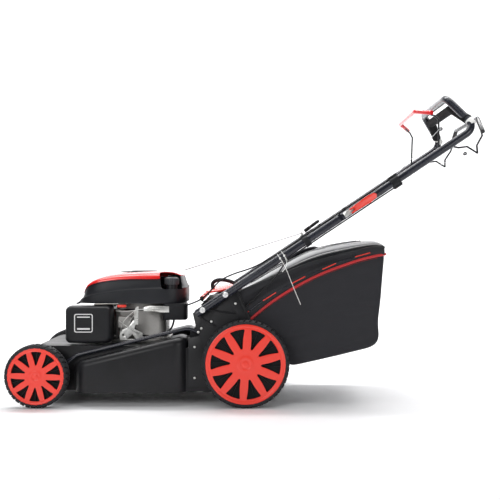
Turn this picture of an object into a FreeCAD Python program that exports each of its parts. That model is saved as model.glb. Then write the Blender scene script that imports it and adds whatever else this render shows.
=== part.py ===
import FreeCAD, Part
import math
import os

# Petrol push mower with grass bag: +X forward, +Y left, +Z up, origin on the ground, millimetres.

V = FreeCAD.Vector

# ---------------------------------------------------------------- driving dimensions
REAR_RADIUS = 140.0
FRONT_RADIUS = 101.5
REAR_X = 7.0
WHEELBASE = 666.0
FRONT_X = REAR_X + WHEELBASE
HALF_WIDTH = 285.0
TYRE_WIDTH = 46.0
WHEEL_INSIDE = HALF_WIDTH - TYRE_WIDTH

CRANK_ARM = 46.0
LINK_ARM = 35.0
LINK_Y = 213.0
LINK_RADIUS = 6.0

CRANK_X = 362.0
BLADE_LENGTH = 476.0
SHEET = 2.0
DECK_BOTTOM = 45.0
DECK_TOP = 190.0

TUBE_RADIUS = 12.5
TUBE_BORE = 10.5
TUBE_Y = 245.0
HANDLE_FOOT = V(71.7, 0, 359.7)
HANDLE_SLOPE = math.radians(33.74)
ALONG = V(-math.cos(HANDLE_SLOPE), 0, math.sin(HANDLE_SLOPE))
ABOVE = V(math.sin(HANDLE_SLOPE), 0, math.cos(HANDLE_SLOPE))
LOWER_BOLT = -88.4
FOLD_AT = 489.0
LOWER_END = 519.0
UPPER_START = 450.0
BEND_AT = 967.7
BAR_CORNER = V(-652, 180, 1002)
FOAM_RADIUS = 15.5
BOLT_RADIUS = 4.0
RUN_GAP = 0.05

RED_PIVOT = V(-616, 0, 820)
BLACK_PIVOT = V(-648, 0, 843)
BAIL_Y = 227.0
WIRE_RADIUS = 3.0
BAIL_GRIP_RADIUS = 7.5

BAG_HALF = 216.0
BAG_WALL = 4.0
CABLE_RADIUS = 2.5
SIDES = {"left": 1, "right": -1}


# ---------------------------------------------------------------- helpers
def box(x0, x1, y0, y1, z0, z1):
    return Part.makeBox(x1 - x0, y1 - y0, z1 - z0, V(x0, y0, z0))


def rod(start, end, radius):
    """A cylinder from one point to another."""
    run = end - start
    return Part.makeCylinder(radius, run.Length, start, run)


def cross_rod(x, z, y0, y1, radius):
    """A cylinder along Y."""
    low, high = min(y0, y1), max(y0, y1)
    return Part.makeCylinder(radius, high - low, V(x, low, z), V(0, 1, 0))


def post(x, y, z0, z1, radius):
    """A cylinder along Z."""
    return Part.makeCylinder(radius, z1 - z0, V(x, y, z0))


def side_plate(outline, y0, y1):
    """A flat outline in X and Z, made into a plate between two Y values."""
    low, high = min(y0, y1), max(y0, y1)
    points = [V(x, low, z) for x, z in outline]
    face = Part.Face(Part.makePolygon(points + points[:1]))
    return face.extrude(V(0, high - low, 0))


def plan_block(outline, z0, z1):
    """A flat outline in X and Y, made into a block between two heights."""
    points = [V(x, y, z0) for x, y in outline]
    face = Part.Face(Part.makePolygon(points + points[:1]))
    return face.extrude(V(0, 0, z1 - z0))


def rounded_box(x0, x1, y0, y1, z0, z1, radius):
    """A box whose upright edges are rounded."""
    block = box(x0, x1, y0, y1, z0, z1)
    upright = [e for e in block.Edges if abs(e.tangentAt(e.FirstParameter).z) > 0.9]
    return block.makeFillet(radius, upright)


def fused(shapes):
    whole = shapes[0]
    if len(shapes) > 1:
        whole = whole.multiFuse(shapes[1:])
    return whole.removeSplitter()


def mirrored(shape):
    return shape.mirror(V(0, 0, 0), V(0, 1, 0))


def on_handle(s, y=0.0, above=0.0):
    """A point on the handle: s along the tube, y across, above it square to the tube."""
    return HANDLE_FOOT + ALONG * s + ABOVE * above + V(0, y, 0)


def round_path(points, radii):
    """Straight runs joined by tangent arcs of the given radii, one for each inner point."""
    edges = []
    start = points[0]
    for i, radius in enumerate(radii):
        corner = points[i + 1]
        before = (points[i] - corner).normalize()
        after = (points[i + 2] - corner).normalize()
        half = before.getAngle(after) / 2
        reach = radius / math.tan(half)
        first = corner + before * reach
        last = corner + after * reach
        middle_way = (before + after).normalize()
        middle = corner + middle_way * (radius / math.sin(half) - radius)
        edges.append(Part.LineSegment(start, first).toShape())
        edges.append(Part.Arc(first, middle, last).toShape())
        start = last
    edges.append(Part.LineSegment(start, points[-1]).toShape())
    return Part.Wire(edges)


def pipe(points, radii, radius):
    """A round bar along a path with rounded corners."""
    path = round_path(points, radii)
    run = points[1] - points[0]
    ring = Part.Wire(Part.makeCircle(radius, points[0], run))
    return path.makePipeShell([ring], True, True)


def large_radii(points):
    """For each inner point, the largest arc that its two runs allow."""
    radii = []
    for a, b, c in zip(points, points[1:], points[2:]):
        turn = math.pi - (a - b).getAngle(c - b)
        shorter = min((a - b).Length, (c - b).Length)
        radii.append(0.45 * shorter / math.tan(turn / 2))
    return radii


def cable(name, points, radius):
    """A cable's plain tube, whose arcs are as large as its runs allow."""
    radii = large_radii(points)
    tube = pipe(points, radii, radius)
    length = round_path(points, radii).Length
    section = math.pi * radius ** 2
    print(f"{name}: length {length:.0f} mm, smallest radius {min(radii):.0f} mm, "
          f"volume over section times length {tube.Volume / (section * length):.3f}")
    return tube


NODES = {}


def keep(name, *solids):
    """Store one node, of one solid or a group of separate ones."""
    flat = [s for shape in solids for s in shape.Solids]
    NODES[name] = flat[0] if len(flat) == 1 else Part.makeCompound(flat)


# ---------------------------------------------------------------- deck
BULGE_REAR = 195.0
BULGE_FRONT = 560.0
BULGE_SLOPE = 0.2424
BULGE_HALF = 252.0
PAN_REAR = 95.0
PAN_FRONT = 690.0
PAN_HALF = 196.0
REAR_PAN_HALF = 228.6
PLATE_INSIDE = 229.0
PLATE_OUTSIDE = 232.0
REAR_PIVOT_X = REAR_X - CRANK_ARM
FRONT_PIVOT_X = FRONT_X - CRANK_ARM
CHUTE_OUTLINE = [(194, 186), (188, 235), (166, 256), (142, 336), (62, 345), (-2, 203), (95, 187)]


def bulge_top(x):
    return 142 + BULGE_SLOPE * (555 - x)


def deck_form(inset):
    """The deck's outer form, or its inner form where inset is the sheet's thickness."""
    low = DECK_BOTTOM - (10 if inset else 0)
    pan = rounded_box(PAN_REAR + inset, PAN_FRONT - inset, -PAN_HALF + inset,
                      PAN_HALF - inset, low, DECK_TOP - inset, 60 - inset)
    rear = box(PAN_REAR + inset, 230, -REAR_PAN_HALF + inset, REAR_PAN_HALF - inset,
               low, DECK_TOP - 4 - inset)
    forms = [pan, rear]
    for sign in SIDES.values():
        block = rounded_box(BULGE_REAR + inset, BULGE_FRONT - inset,
                            -BULGE_HALF + inset, BULGE_HALF - inset, low, 300, 45 - inset)
        slab = box(BULGE_REAR, BULGE_FRONT, min(140 * sign, 260 * sign),
                   max(140 * sign, 260 * sign), low, 300)
        x0, x1 = BULGE_REAR - 5, BULGE_FRONT + 5
        wedge = side_plate([(x0, low), (x1, low), (x1, bulge_top(x1) - inset),
                            (x0, bulge_top(x0) - inset)], -300, 300)
        side = block.common(slab).common(wedge)
        top = [e for e in side.Edges
               if e.BoundBox.ZMin > low + 5 and e.BoundBox.YLength > -1
               and max(abs(e.BoundBox.YMin), abs(e.BoundBox.YMax)) > 200]
        forms.append(side.makeFillet(24 - inset, top))
    return forms


def build_deck():
    outer = fused(deck_form(0))
    inner = fused(deck_form(SHEET))
    shell = outer.cut(inner)
    shell = shell.cut(box(PAN_REAR + 6, 190, -190, 190, 170, 240))
    shell = shell.cut(post(CRANK_X, 0, 150, 220, 40))
    shell = shell.cut(box(80, 130, -52, 52, 160, 184))
    bush = cross_rod(FRONT_PIVOT_X, FRONT_RADIUS, PAN_HALF - 2, PAN_HALF + 7, 15)
    shell = fused([shell, bush, mirrored(bush)])
    shell = shell.cut(cross_rod(FRONT_PIVOT_X, FRONT_RADIUS, -300, 300, 8 + RUN_GAP))
    for x, y in ENGINE_BOLTS:
        shell = shell.cut(post(x, y, 150, 220, 4.3))
    keep("deck_shell", shell)

    skin = side_plate(CHUTE_OUTLINE, -200, 200)
    hollow = side_plate([(190.5, 180), (184.5, 233), (163, 253), (140, 333), (30, 342),
                         (-40, 206), (98, 190)], -197, 197)
    chute = skin.cut(hollow).cut(box(60, 190, -189, 189, 180, 195))
    chute = chute.cut(box(94, 300, -300, 300, 150, 190.2))
    keep("discharge_chute", chute)


PLATE_OUTLINE = [(178, 299), (165, 243), (156, 226), (192, 218), (192, 62), (100, 62), (-20, 100),
                 (-78, 112), (-78, 168), (-22, 250), (22, 352), (38, 384), (48, 386)]


def build_side_plates():
    plates = []
    for side, sign in SIDES.items():
        plate = side_plate(PLATE_OUTLINE, PLATE_INSIDE, PLATE_OUTSIDE)
        plate = plate.fuse(cross_rod(122, 300, 200.2, PLATE_INSIDE, 9))
        plate = plate.cut(cross_rod(REAR_PIVOT_X, REAR_RADIUS, 200, 240, 12 + RUN_GAP))
        for s in (0, LOWER_BOLT):
            p = on_handle(s)
            plate = plate.cut(cross_rod(p.x, p.z, 200, 240, BOLT_RADIUS + RUN_GAP))
        plates.append(plate if sign > 0 else mirrored(plate))
    keep("handle_plates", *plates)


# ---------------------------------------------------------------- wheels and axles
SPOKES = 10
COVER_INSIDE = 279.3
COVER_OUTSIDE = 284.2
GEAR_RADIUS = 60.0


def window(radius, turn_deg):
    """One of the cover's wedge-shaped windows, as a cutter round the Y axis at the origin."""
    near, far = 0.39 * radius, 0.87 * radius
    corners = []
    for r, half in ((near, 2.5), (far, 12.5), (far, -12.5), (near, -2.5)):
        a = math.radians(turn_deg + half)
        corners.append((r * math.cos(a), r * math.sin(a)))
    return side_plate(corners, 200, 300)


def build_wheel(name, x, radius, cover_radius, first_window, sign):
    centre_z = radius
    rim_radius = cover_radius - 1.3

    def turned(y0, y1, r):
        return cross_rod(0, 0, y0, y1, r)

    tyre = turned(WHEEL_INSIDE, HALF_WIDTH, radius)
    tyre = tyre.makeFillet(5, [e for e in tyre.Edges if e.Curve.TypeId == "Part::GeomCircle"])
    tyre = tyre.cut(turned(230, 300, rim_radius + 0.2))
    tyre = tyre.cut(turned(COVER_INSIDE - 0.3, 300, cover_radius + 0.5))
    rim = turned(WHEEL_INSIDE + 1.5, COVER_INSIDE - 0.2, rim_radius)
    rim = rim.cut(turned(268, 300, rim_radius - 6).cut(turned(268, 272.4, 22)))
    rim = rim.cut(turned(WHEEL_INSIDE, 252, GEAR_RADIUS).cut(turned(WHEEL_INSIDE, 252, 14)))
    pocket = turned(WHEEL_INSIDE, 263, rim_radius - 6).cut(turned(WHEEL_INSIDE, 263, GEAR_RADIUS + 6))
    rim = rim.cut(pocket)
    rim = rim.cut(turned(230, 300, 6 + RUN_GAP))
    cover = turned(COVER_INSIDE, COVER_OUTSIDE, cover_radius)
    for k in range(SPOKES):
        cover = cover.cut(window(cover_radius, first_window + 360 / SPOKES * k))
    cover = cover.cut(turned(COVER_INSIDE - 1, COVER_INSIDE + 2.2, 17))
    placed = []
    for shape in (tyre, rim, cover):
        moved = shape.copy()
        moved.translate(V(x, 0, centre_z))
        placed.append(moved if sign > 0 else mirrored(moved))
    keep(f"{name}_tyre", placed[0])
    keep(f"{name}_wheel", *placed[1:])


def crank_arm(pivot_x, z, hole):
    """The plate that carries one wheel, left side."""
    wheel_x = pivot_x + CRANK_ARM
    arm = fused([cross_rod(pivot_x, z, 233, 237, 20), cross_rod(wheel_x, z, 233, 237, 16),
                 box(pivot_x, wheel_x, 233, 237, z - 15, z + 15),
                 cross_rod(wheel_x, z, 236, 272.5, 6)])
    if hole:
        arm = arm.cut(cross_rod(pivot_x, z, 200, 300, hole))
    return arm


def link_lug(pivot_x, z, bore):
    """The arm that the height link pulls, left side."""
    lug = fused([cross_rod(pivot_x, z, 221, 225, 18), cross_rod(pivot_x, z + LINK_ARM, 221, 225, 10),
                 box(pivot_x - 9, pivot_x + 9, 221, 225, z, z + LINK_ARM),
                 cross_rod(pivot_x, z + LINK_ARM, 205, 222, 4)])
    return lug.cut(cross_rod(pivot_x, z, 200, 300, bore))


def build_axles():
    z = FRONT_RADIUS
    arm = crank_arm(FRONT_PIVOT_X, z, 0)
    bar = cross_rod(FRONT_PIVOT_X, z, -234, 234, 8)
    front = fused([bar, arm, mirrored(arm), link_lug(FRONT_PIVOT_X, z, 7.9)])
    nut = cross_rod(FRONT_X, z, 272.7, 278.6, 11)
    keep("front_axle", front, nut, mirrored(nut))

    z = REAR_RADIUS
    tube = cross_rod(REAR_PIVOT_X, z, 52, 233.5, 12)
    arm = crank_arm(REAR_PIVOT_X, z, 7.5)
    bridge_end = box(REAR_PIVOT_X - 62, REAR_PIVOT_X, 52, 57, z - 12, z + 12)
    bridge = box(REAR_PIVOT_X - 62, REAR_PIVOT_X - 56, -57, 57, z - 12, z + 12)
    lever_tip = V(REAR_PIVOT_X - 58, -235, z + 160)
    lever = side_plate([(REAR_PIVOT_X - 11, z), (REAR_PIVOT_X + 11, z),
                        (lever_tip.x + 9, lever_tip.z), (lever_tip.x - 9, lever_tip.z)], -237, -233)
    solids = [tube, mirrored(tube), arm, mirrored(arm), bridge_end, mirrored(bridge_end), bridge,
              link_lug(REAR_PIVOT_X, z, 11.5), lever]
    rear = fused(solids).cut(cross_rod(REAR_PIVOT_X, z, -300, 300, 7.5))
    knob = rod(V(lever_tip.x, -262, lever_tip.z + 12), V(lever_tip.x, -232, lever_tip.z + 12), 14)
    tx, tz = lever_tip.x, lever_tip.z
    knob = knob.cut(side_plate([(tx - 9.2, tz - 20), (tx + 9.2, tz - 20),
                                (tx + 9.2, tz + 0.2), (tx - 9.2, tz + 0.2)],
                               -237.1, -232.9))
    nut = cross_rod(REAR_X, z, 272.7, 278.6, 11)
    keep("rear_axle", rear, knob, nut, mirrored(nut))
    shaft = cross_rod(REAR_PIVOT_X, z, -251, 251, 6)
    pinion = cross_rod(REAR_PIVOT_X, z, 240.5, 250, 12)
    pinion = pinion.cut(cross_rod(REAR_PIVOT_X, z, 230, 260, 6 + RUN_GAP))
    keep("drive_shaft", shaft, pinion, mirrored(pinion))

    route = [V(FRONT_PIVOT_X, LINK_Y, FRONT_RADIUS + LINK_ARM), V(590, LINK_Y, 137), V(555, LINK_Y, 162),
             V(194, LINK_Y, 249.5), V(150, LINK_Y, 232), V(REAR_PIVOT_X, LINK_Y, REAR_RADIUS + LINK_ARM)]
    link = pipe(route, [20, 20, 40, 40], LINK_RADIUS)
    for x, z in ((FRONT_PIVOT_X, FRONT_RADIUS + LINK_ARM), (REAR_PIVOT_X, REAR_RADIUS + LINK_ARM)):
        link = link.fuse(cross_rod(x, z, LINK_Y - 6, LINK_Y + 6, 9))
    for x, z in ((FRONT_PIVOT_X, FRONT_RADIUS + LINK_ARM), (REAR_PIVOT_X, REAR_RADIUS + LINK_ARM)):
        link = link.cut(cross_rod(x, z, 190, 230, 4 + RUN_GAP))
    keep("height_link", link)


# ---------------------------------------------------------------- engine and blade
ENGINE_BOLTS = [(285, -88), (285, 88), (452, -88)]
SHROUD_OUTLINE = [(209, 325), (211, 393), (224, 418), (252, 430), (367, 428), (452, 423), (512, 410),
                  (556, 383), (573, 325)]
CAP = V(256, 118, 388)


def shroud_form(inset, base):
    """The blower housing's form: a rounded plan cut by its side outline."""
    plan = rounded_box(209 + inset, 573 - inset, -150 + inset, 150 - inset, base, 440, 60 - inset)
    outline = []
    for x, z in SHROUD_OUTLINE:
        side = 1 if x < 300 else -1 if x > 500 else 0
        outline.append((x + side * inset, z - (inset if z > 330 else 400)))
    return plan.common(side_plate(outline, -160, 160))


def build_engine():
    x = CRANK_X
    block = rounded_box(x - 82, x + 92, -82, 82, 193, 296, 24)
    flange = rounded_box(x - 92, x + 105, -100, 100, 190.3, 202, 20)
    block = block.fuse(flange).cut(post(x, 0, 204, 288, 62)).cut(post(x, 0, 180, 300, 12.5 + RUN_GAP))
    for bx, by in ENGINE_BOLTS:
        block = block.cut(post(bx, by, 180, 210, BOLT_RADIUS + RUN_GAP))
    filler = pipe([V(x - 20, -75, 230), V(x - 20, -118, 230), V(x - 20, -122, 308)], [22], 11)
    block = fused([block, filler]).cut(post(x - 20, -122, 262, 320, 8))
    keep("engine_block", block)
    bolts = []
    for bx, by in ENGINE_BOLTS:
        bolts.append(fused([post(bx, by, 176, 203, BOLT_RADIUS), post(bx, by, 202.2, 208, 8),
                            post(bx, by, 180, 186.8, 7.5)]))
    keep("frame_bolts", *bolts)

    barrel = rod(V(x + 92.2, 0, 250), V(x + 190, 0, 250), 46)
    fins = [box(x + along, x + along + 3, -62, 62, 202.4, 305) for along in range(106, 184, 12)]
    head = fused([box(x + 190.3, x + 206, -60, 60, 204, 303)]
                 + [box(x + 206, x + 222, -58, 58, fz, fz + 3) for fz in range(212, 300, 14)])
    cylinder = fused([barrel, rod(V(x + 186, 0, 250), V(x + 195, 0, 250), 40), head] + fins)
    keep("cylinder", cylinder.cut(rod(V(x + 190.3, -24, 256), V(x + 240, -24, 256), 9)))
    plug = fused([rod(V(x + 192, -24, 256), V(x + 208, -24, 256), 7),
                  rod(V(x + 207, -24, 256), V(x + 214, -24, 256), 8.5),
                  rod(V(x + 213, -24, 256), V(x + 232, -24, 256), 6)])
    keep("spark_plug", plug)

    outer = shroud_form(0, 325)
    inner = shroud_form(SHEET, 300)
    pocket = post(CAP.x, CAP.y, 380, 460, 34)
    pocket_outside = post(CAP.x, CAP.y, 376, 460, 37)
    shell = outer.cut(inner.cut(pocket_outside)).cut(pocket)
    shell = shell.cut(post(CAP.x, CAP.y, 370, 385, 19.3))
    red_line = [(590, 300), (545, 373), (482, 398), (395, 405), (296, 408), (225, 412), (190, 412),
                (190, 500), (640, 500), (640, 300)]
    above = side_plate(red_line, -200, 200)
    below = above.copy()
    below.translate(V(0, 0, -0.3))
    shroud = shell.cut(below)
    cover = shell.common(above)
    keep("engine_shroud", max(shroud.Solids, key=lambda s: s.Volume))
    cover = max(cover.Solids, key=lambda s: s.Volume)
    spindle = fused([post(x, 0, 347, 426.5, 9), post(x, 0, 370, 426.5, 24)])
    keep("shroud_cover", fused([cover, spindle]))

    tank = rounded_box(205, 284, 62, 150, 270, 324.6, 14)
    tank = tank.cut(rounded_box(207.5, 281.5, 64.5, 147.5, 272.5, 322, 12))
    neck = post(CAP.x, CAP.y, 323, 392, 19)
    tank = tank.fuse(neck).cut(post(CAP.x, CAP.y, 320, 400, 16.5)).removeSplitter()
    keep("fuel_tank", tank)
    cap = post(CAP.x, CAP.y, 387, 411, 24.3)
    cap = cap.makeFillet(3, [e for e in cap.Edges if e.BoundBox.ZMin > 410])
    for k in range(16):
        a = 2 * math.pi * k / 16
        cap = cap.cut(post(CAP.x + 25.3 * math.cos(a), CAP.y + 25.3 * math.sin(a), 380, 407, 2.0))
    cap = cap.cut(post(CAP.x, CAP.y, 380, 404, 19.4))
    keep("fuel_cap", cap)

    oil_cap = fused([post(x - 20, -122, 309.2, 318, 16), post(x - 20, -122, 318, 330, 6),
                     box(x - 34, x - 6, -125, -119, 317, 329)])
    keep("oil_cap", fused([oil_cap, post(x - 20, -122, 272, 310, 3)]))

    base = rounded_box(453, 599, 96, 128, 199, 316, 12)
    base = base.cut(rounded_box(456, 596, 99, 140, 202, 313, 10))
    base = base.fuse(rod(V(452, 112, 262), V(436, 112, 262), 19))
    base = base.cut(rod(V(470, 112, 262), V(430, 112, 262), 12))
    lid = rounded_box(451, 601, 128.3, 190, 196, 318, 16)
    face_edges = [e for e in lid.Edges if e.BoundBox.YMin > 170]
    lid = lid.makeFillet(6, face_edges).cut(rounded_box(454, 598, 120, 187, 199, 315, 13))
    keep("air_filter", base.removeSplitter(), lid)

    carb = fused([box(392, 433, 92, 132, 244, 280), rod(V(392, 112, 262), V(435.7, 112, 262), 17),
                  post(412, 112, 214, 246, 20), rod(V(412, 82.3, 262), V(412, 92.5, 262), 15)])
    keep("carburettor", carb)
    bracket = side_plate([(352, 205), (372, 205), (386, 222), (404, 205), (428, 205), (428, 232),
                          (398, 246), (384, 268), (370, 268), (380, 240), (352, 226)], 136, 139)
    foot = box(352, 428, 98, 139, 202.3, 205.2)
    bracket = bracket.fuse(foot).cut(cross_rod(416, 219, 100, 150, 4))
    bracket = bracket.cut(cross_rod(372, 260, 100, 150, 3 + RUN_GAP))
    lever_side = [(366, 254), (378, 254), (380, 296), (372, 314), (364, 314), (366, 290)]
    lever = fused([side_plate(lever_side, 140, 143),
                   cross_rod(372, 260, 130, 147, 3)])
    keep("brake_lever", lever)
    strap = side_plate([(262, 296), (290, 296), (326, 304), (346, 300), (346, 312), (326, 318), (262, 316)],
                       152, 155)
    link = fused([strap, box(300, 346, 82.2, 155, 300, 303)])
    keep("engine_brackets", bracket.removeSplitter(), link)

    muffler = rounded_box(438, 562, -178, -112, 214, 296, 18)
    muffler = muffler.cut(rounded_box(440, 560, -176, -114, 216, 294, 16))
    muffler = muffler.fuse(rod(V(500, -113, 250), V(500, -64, 250), 12))
    guard = rounded_box(430, 570, -188, -150, 206, 304, 14)
    guard = guard.cut(rounded_box(433, 567, -185, -140, 209, 301, 12))
    for k in range(7):
        guard = guard.cut(box(446 + 16 * k, 454 + 16 * k, -200, -184, 222, 288))
    keep("muffler", muffler.removeSplitter(), guard)

    hose = cable("fuel_hose", [V(250, 100, 269.6), V(252, 102, 250), V(268, 106, 226), V(298, 112, 212),
                               V(340, 118, 212), V(370, 124, 224), V(389, 124, 250)], 3.5)
    keep("fuel_hose", hose)


def build_turning_parts():
    x = CRANK_X
    shaft = fused([post(x, 0, 88, 340, 12.5), post(x, 0, 210, 280, 30), post(x, 0, 165, 181, 28)])
    keep("crankshaft", shaft)
    wheel = post(x, 0, 303, 330, 92).cut(post(x, 0, 300, 340, 12.5 + RUN_GAP))
    for k in range(12):
        vane = box(x - 2, x + 2, 40, 88, 329, 344)
        vane.rotate(V(x, 0, 0), V(0, 0, 1), 30 * k)
        wheel = wheel.fuse(vane)
    keep("flywheel", wheel.removeSplitter())
    adapter = fused([post(x, 0, 86, 118, 24), post(x, 0, 82, 86, 34)])
    adapter = adapter.cut(post(x, 0, 87.8, 120, 12.5 + RUN_GAP))
    adapter = adapter.cut(post(x, 0, 70, 100, 5 + RUN_GAP))
    half = BLADE_LENGTH / 2
    blade = box(x - half, x + half, -28, 28, 77.8, 81.8)
    blade = blade.common(post(x, 0, 70, 90, half))
    tip = x + half
    for turn in (0, 180):
        wing = side_plate([(tip - 78, 81.8), (tip - 8, 81.8), (tip - 20, 98), (tip - 60, 98)], -28, -25)
        wing = wing.common(post(x, 0, 70, 110, half - 2))
        wing.rotate(V(x, 0, 0), V(0, 0, 1), turn)
        blade = blade.fuse(wing)
    keep("blade", blade.cut(post(x, 0, 70, 100, 5 + RUN_GAP)).removeSplitter())
    bolt = fused([post(x, 0, 70, 77.6, 12), post(x, 0, 77, 87.6, 5)])
    keep("blade_adapter", adapter, bolt)

    pulley_rope = post(x, 0, 352, 366, 42).cut(post(x, 0, 356, 362, 60).cut(post(x, 0, 350, 370, 36)))
    keep("starter_pulley", pulley_rope.cut(post(x, 0, 340, 370, 9 + RUN_GAP)))


def build_drive():
    px, z = REAR_PIVOT_X, REAR_RADIUS
    case = rounded_box(px - 34, px + 30, -44, 44, 118, 160, 12)
    case = case.cut(cross_rod(px, z, -60, 60, 6 + RUN_GAP))
    case = case.cut(post(px, 0, 152, 170, 5 + RUN_GAP))
    arm = box(px + 29, 94.8, -18, 18, 122, 130)
    keep("gearbox", case.fuse(arm).removeSplitter())
    keep("gearbox_pulley", fused([post(px, 0, 165, 181, 38), post(px, 0, 153, 166, 5)]))

    def loop(front, rear, z0, z1):
        """A solid loop round both pulleys, given its radius at each."""
        sides = [(CRANK_X, front), (px, rear), (px, -rear), (CRANK_X, -front)]
        return fused([plan_block(sides, z0, z1), post(CRANK_X, 0, z0, z1, front), post(px, 0, z0, z1, rear)])

    keep("drive_belt", loop(30.5, 40.5, 168, 178).cut(loop(28.3, 38.3, 160, 190)))


# ---------------------------------------------------------------- handle
def build_lower_handle():
    tubes = []
    for side, sign in SIDES.items():
        start, end = on_handle(-112, TUBE_Y), on_handle(LOWER_END, TUBE_Y)
        tube = rod(start, end, TUBE_RADIUS)
        tube = tube.cut(rod(on_handle(-113, TUBE_Y), on_handle(430, TUBE_Y), TUBE_BORE))
        half = rod(on_handle(440, TUBE_Y), on_handle(530, TUBE_Y), 20)
        slab = box(-500, 500, TUBE_Y - 0.2, 300, 0, 1200)
        tube = tube.cut(half.common(slab))
        for s in (0, LOWER_BOLT, FOLD_AT):
            p = on_handle(s)
            tube = tube.cut(cross_rod(p.x, p.z, 200, 300, BOLT_RADIUS + RUN_GAP))
        tubes.append(tube if sign > 0 else mirrored(tube))
    keep("lower_handle", *tubes)
    bolts = []
    for s in (0, LOWER_BOLT):
        p = on_handle(s)
        bolt = fused([cross_rod(p.x, p.z, 224, 260, BOLT_RADIUS), cross_rod(p.x, p.z, 257.7, 262, 9),
                      cross_rod(p.x, p.z, 222, 228.8, 7.5)])
        bolts += [bolt, mirrored(bolt)]
    keep("frame_bolts", NODES["frame_bolts"], *bolts)


def bar_points():
    bend = on_handle(BEND_AT, TUBE_Y)
    left = [on_handle(UPPER_START, TUBE_Y), bend, BAR_CORNER]
    right = [V(p.x, -p.y, p.z) for p in reversed(left)]
    return left + right


def build_upper_handle():
    points = bar_points()
    radii = [35, 40, 40, 35]
    bar = pipe(points, radii, TUBE_RADIUS)
    inner = [on_handle(545, TUBE_Y)] + points[1:-1] + [on_handle(545, -TUBE_Y)]
    bar = bar.cut(pipe(inner, radii, TUBE_BORE))
    for sign in SIDES.values():
        half = rod(on_handle(440, sign * TUBE_Y), on_handle(535, sign * TUBE_Y), 20)
        low, high = sorted((sign * (TUBE_Y + 0.2), sign * 200))
        slab = box(-500, 500, low, high, 0, 1200)
        bar = bar.cut(half.common(slab))
        p = on_handle(FOLD_AT)
        bar = bar.cut(cross_rod(p.x, p.z, sign * 200, sign * 300, BOLT_RADIUS + RUN_GAP))
        for pivot in (RED_PIVOT, BLACK_PIVOT):
            bar = bar.cut(cross_rod(pivot.x, pivot.z, sign * 215, sign * 242, WIRE_RADIUS + RUN_GAP))
    keep("upper_handle", bar)
    leg = (BAR_CORNER - on_handle(BEND_AT, TUBE_Y)).normalize()
    foot = on_handle(BEND_AT, TUBE_Y) + leg * 40
    far_corner = V(BAR_CORNER.x, -BAR_CORNER.y, BAR_CORNER.z)
    foam_points = [foot, BAR_CORNER, far_corner, V(foot.x, -foot.y, foot.z)]
    foam = pipe(foam_points, [40, 40], FOAM_RADIUS).cut(pipe(foam_points, [40, 40], TUBE_RADIUS + 0.2))
    keep("handle_grip", foam)


def build_bail(name, pivot, route, radii, grip_from):
    """A bail: one bent wire whose ends turn outwards into the tubes, and the grip round its middle."""
    left = [V(pivot.x, 240, pivot.z), V(pivot.x, BAIL_Y, pivot.z)] + route
    points = left + [V(p.x, -p.y, p.z) for p in reversed(left)]
    bends = [4.0] + radii
    bends = bends + bends[::-1]
    wire = pipe(points, bends, WIRE_RADIUS)
    held = points[grip_from:len(points) - grip_from]
    first_run = held[1] - held[0]
    start = held[0] + first_run * (10 / first_run.Length)
    held[0] = start
    held[-1] = V(start.x, -start.y, start.z)
    held_bends = bends[grip_from:len(points) - grip_from - 2]
    grip = pipe(held, held_bends, BAIL_GRIP_RADIUS)
    grip = grip.cut(pipe(held, held_bends, WIRE_RADIUS + 0.1))
    keep(name, wire, grip)


def build_bails():
    build_bail("red_bail", RED_PIVOT,
               [V(-629, BAIL_Y, 932), V(-606, 214, 948), V(-538, 150, 972)], [12, 10, 22], 3)
    build_bail("black_bail", BLACK_PIVOT,
               [V(-674, BAIL_Y, 822), V(-704, BAIL_Y, 814), V(-748, BAIL_Y, 807), V(-760, BAIL_Y, 838),
                V(-762, 224, 880), V(-766, 155, 964)], [14, 25, 10, 20, 12, 24], 6)


def build_cam_levers():
    p = on_handle(FOLD_AT)
    bolt = fused([cross_rod(p.x, p.z, 229, 266, BOLT_RADIUS), cross_rod(p.x, p.z, 226, 232.2, 9)])
    saddle = side_plate([(p.x + ALONG.x * s + ABOVE.x * a, p.z + ALONG.z * s + ABOVE.z * a)
                         for s, a in ((-32, -9), (20, -9), (20, 9), (-32, 9))], 257.8, 261.5)
    saddle = saddle.cut(cross_rod(p.x, p.z, 250, 270, BOLT_RADIUS + RUN_GAP))
    keep("clamp_bolts", bolt, mirrored(bolt), saddle, mirrored(saddle))
    for side, sign in SIDES.items():
        pin_at = V(p.x, 271, p.z)
        head = rod(pin_at - ABOVE * 9, pin_at + ABOVE * 9, 9.2)
        arm = side_plate([(p.x + ALONG.x * s + ABOVE.x * a, p.z + ALONG.z * s + ABOVE.z * a)
                          for s, a in ((-2, -9), (60, -12), (84, -9), (90, 0), (84, 9), (60, 12), (-2, 9))],
                         268, 275)
        slot = side_plate([(p.x + ALONG.x * s + ABOVE.x * a, p.z + ALONG.z * s + ABOVE.z * a)
                           for s, a in ((-20, -4.3), (4.3, -4.3), (4.3, 4.3), (-20, 4.3))], 255, 290)
        lever = head.fuse(arm).cut(slot).removeSplitter()
        hole = rod(V(p.x, 240, p.z), V(p.x, 300, p.z), BOLT_RADIUS + 0.3)
        lever = lever.cut(hole)
        keep(f"cam_lever_{side}", lever if sign > 0 else mirrored(lever))


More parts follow.
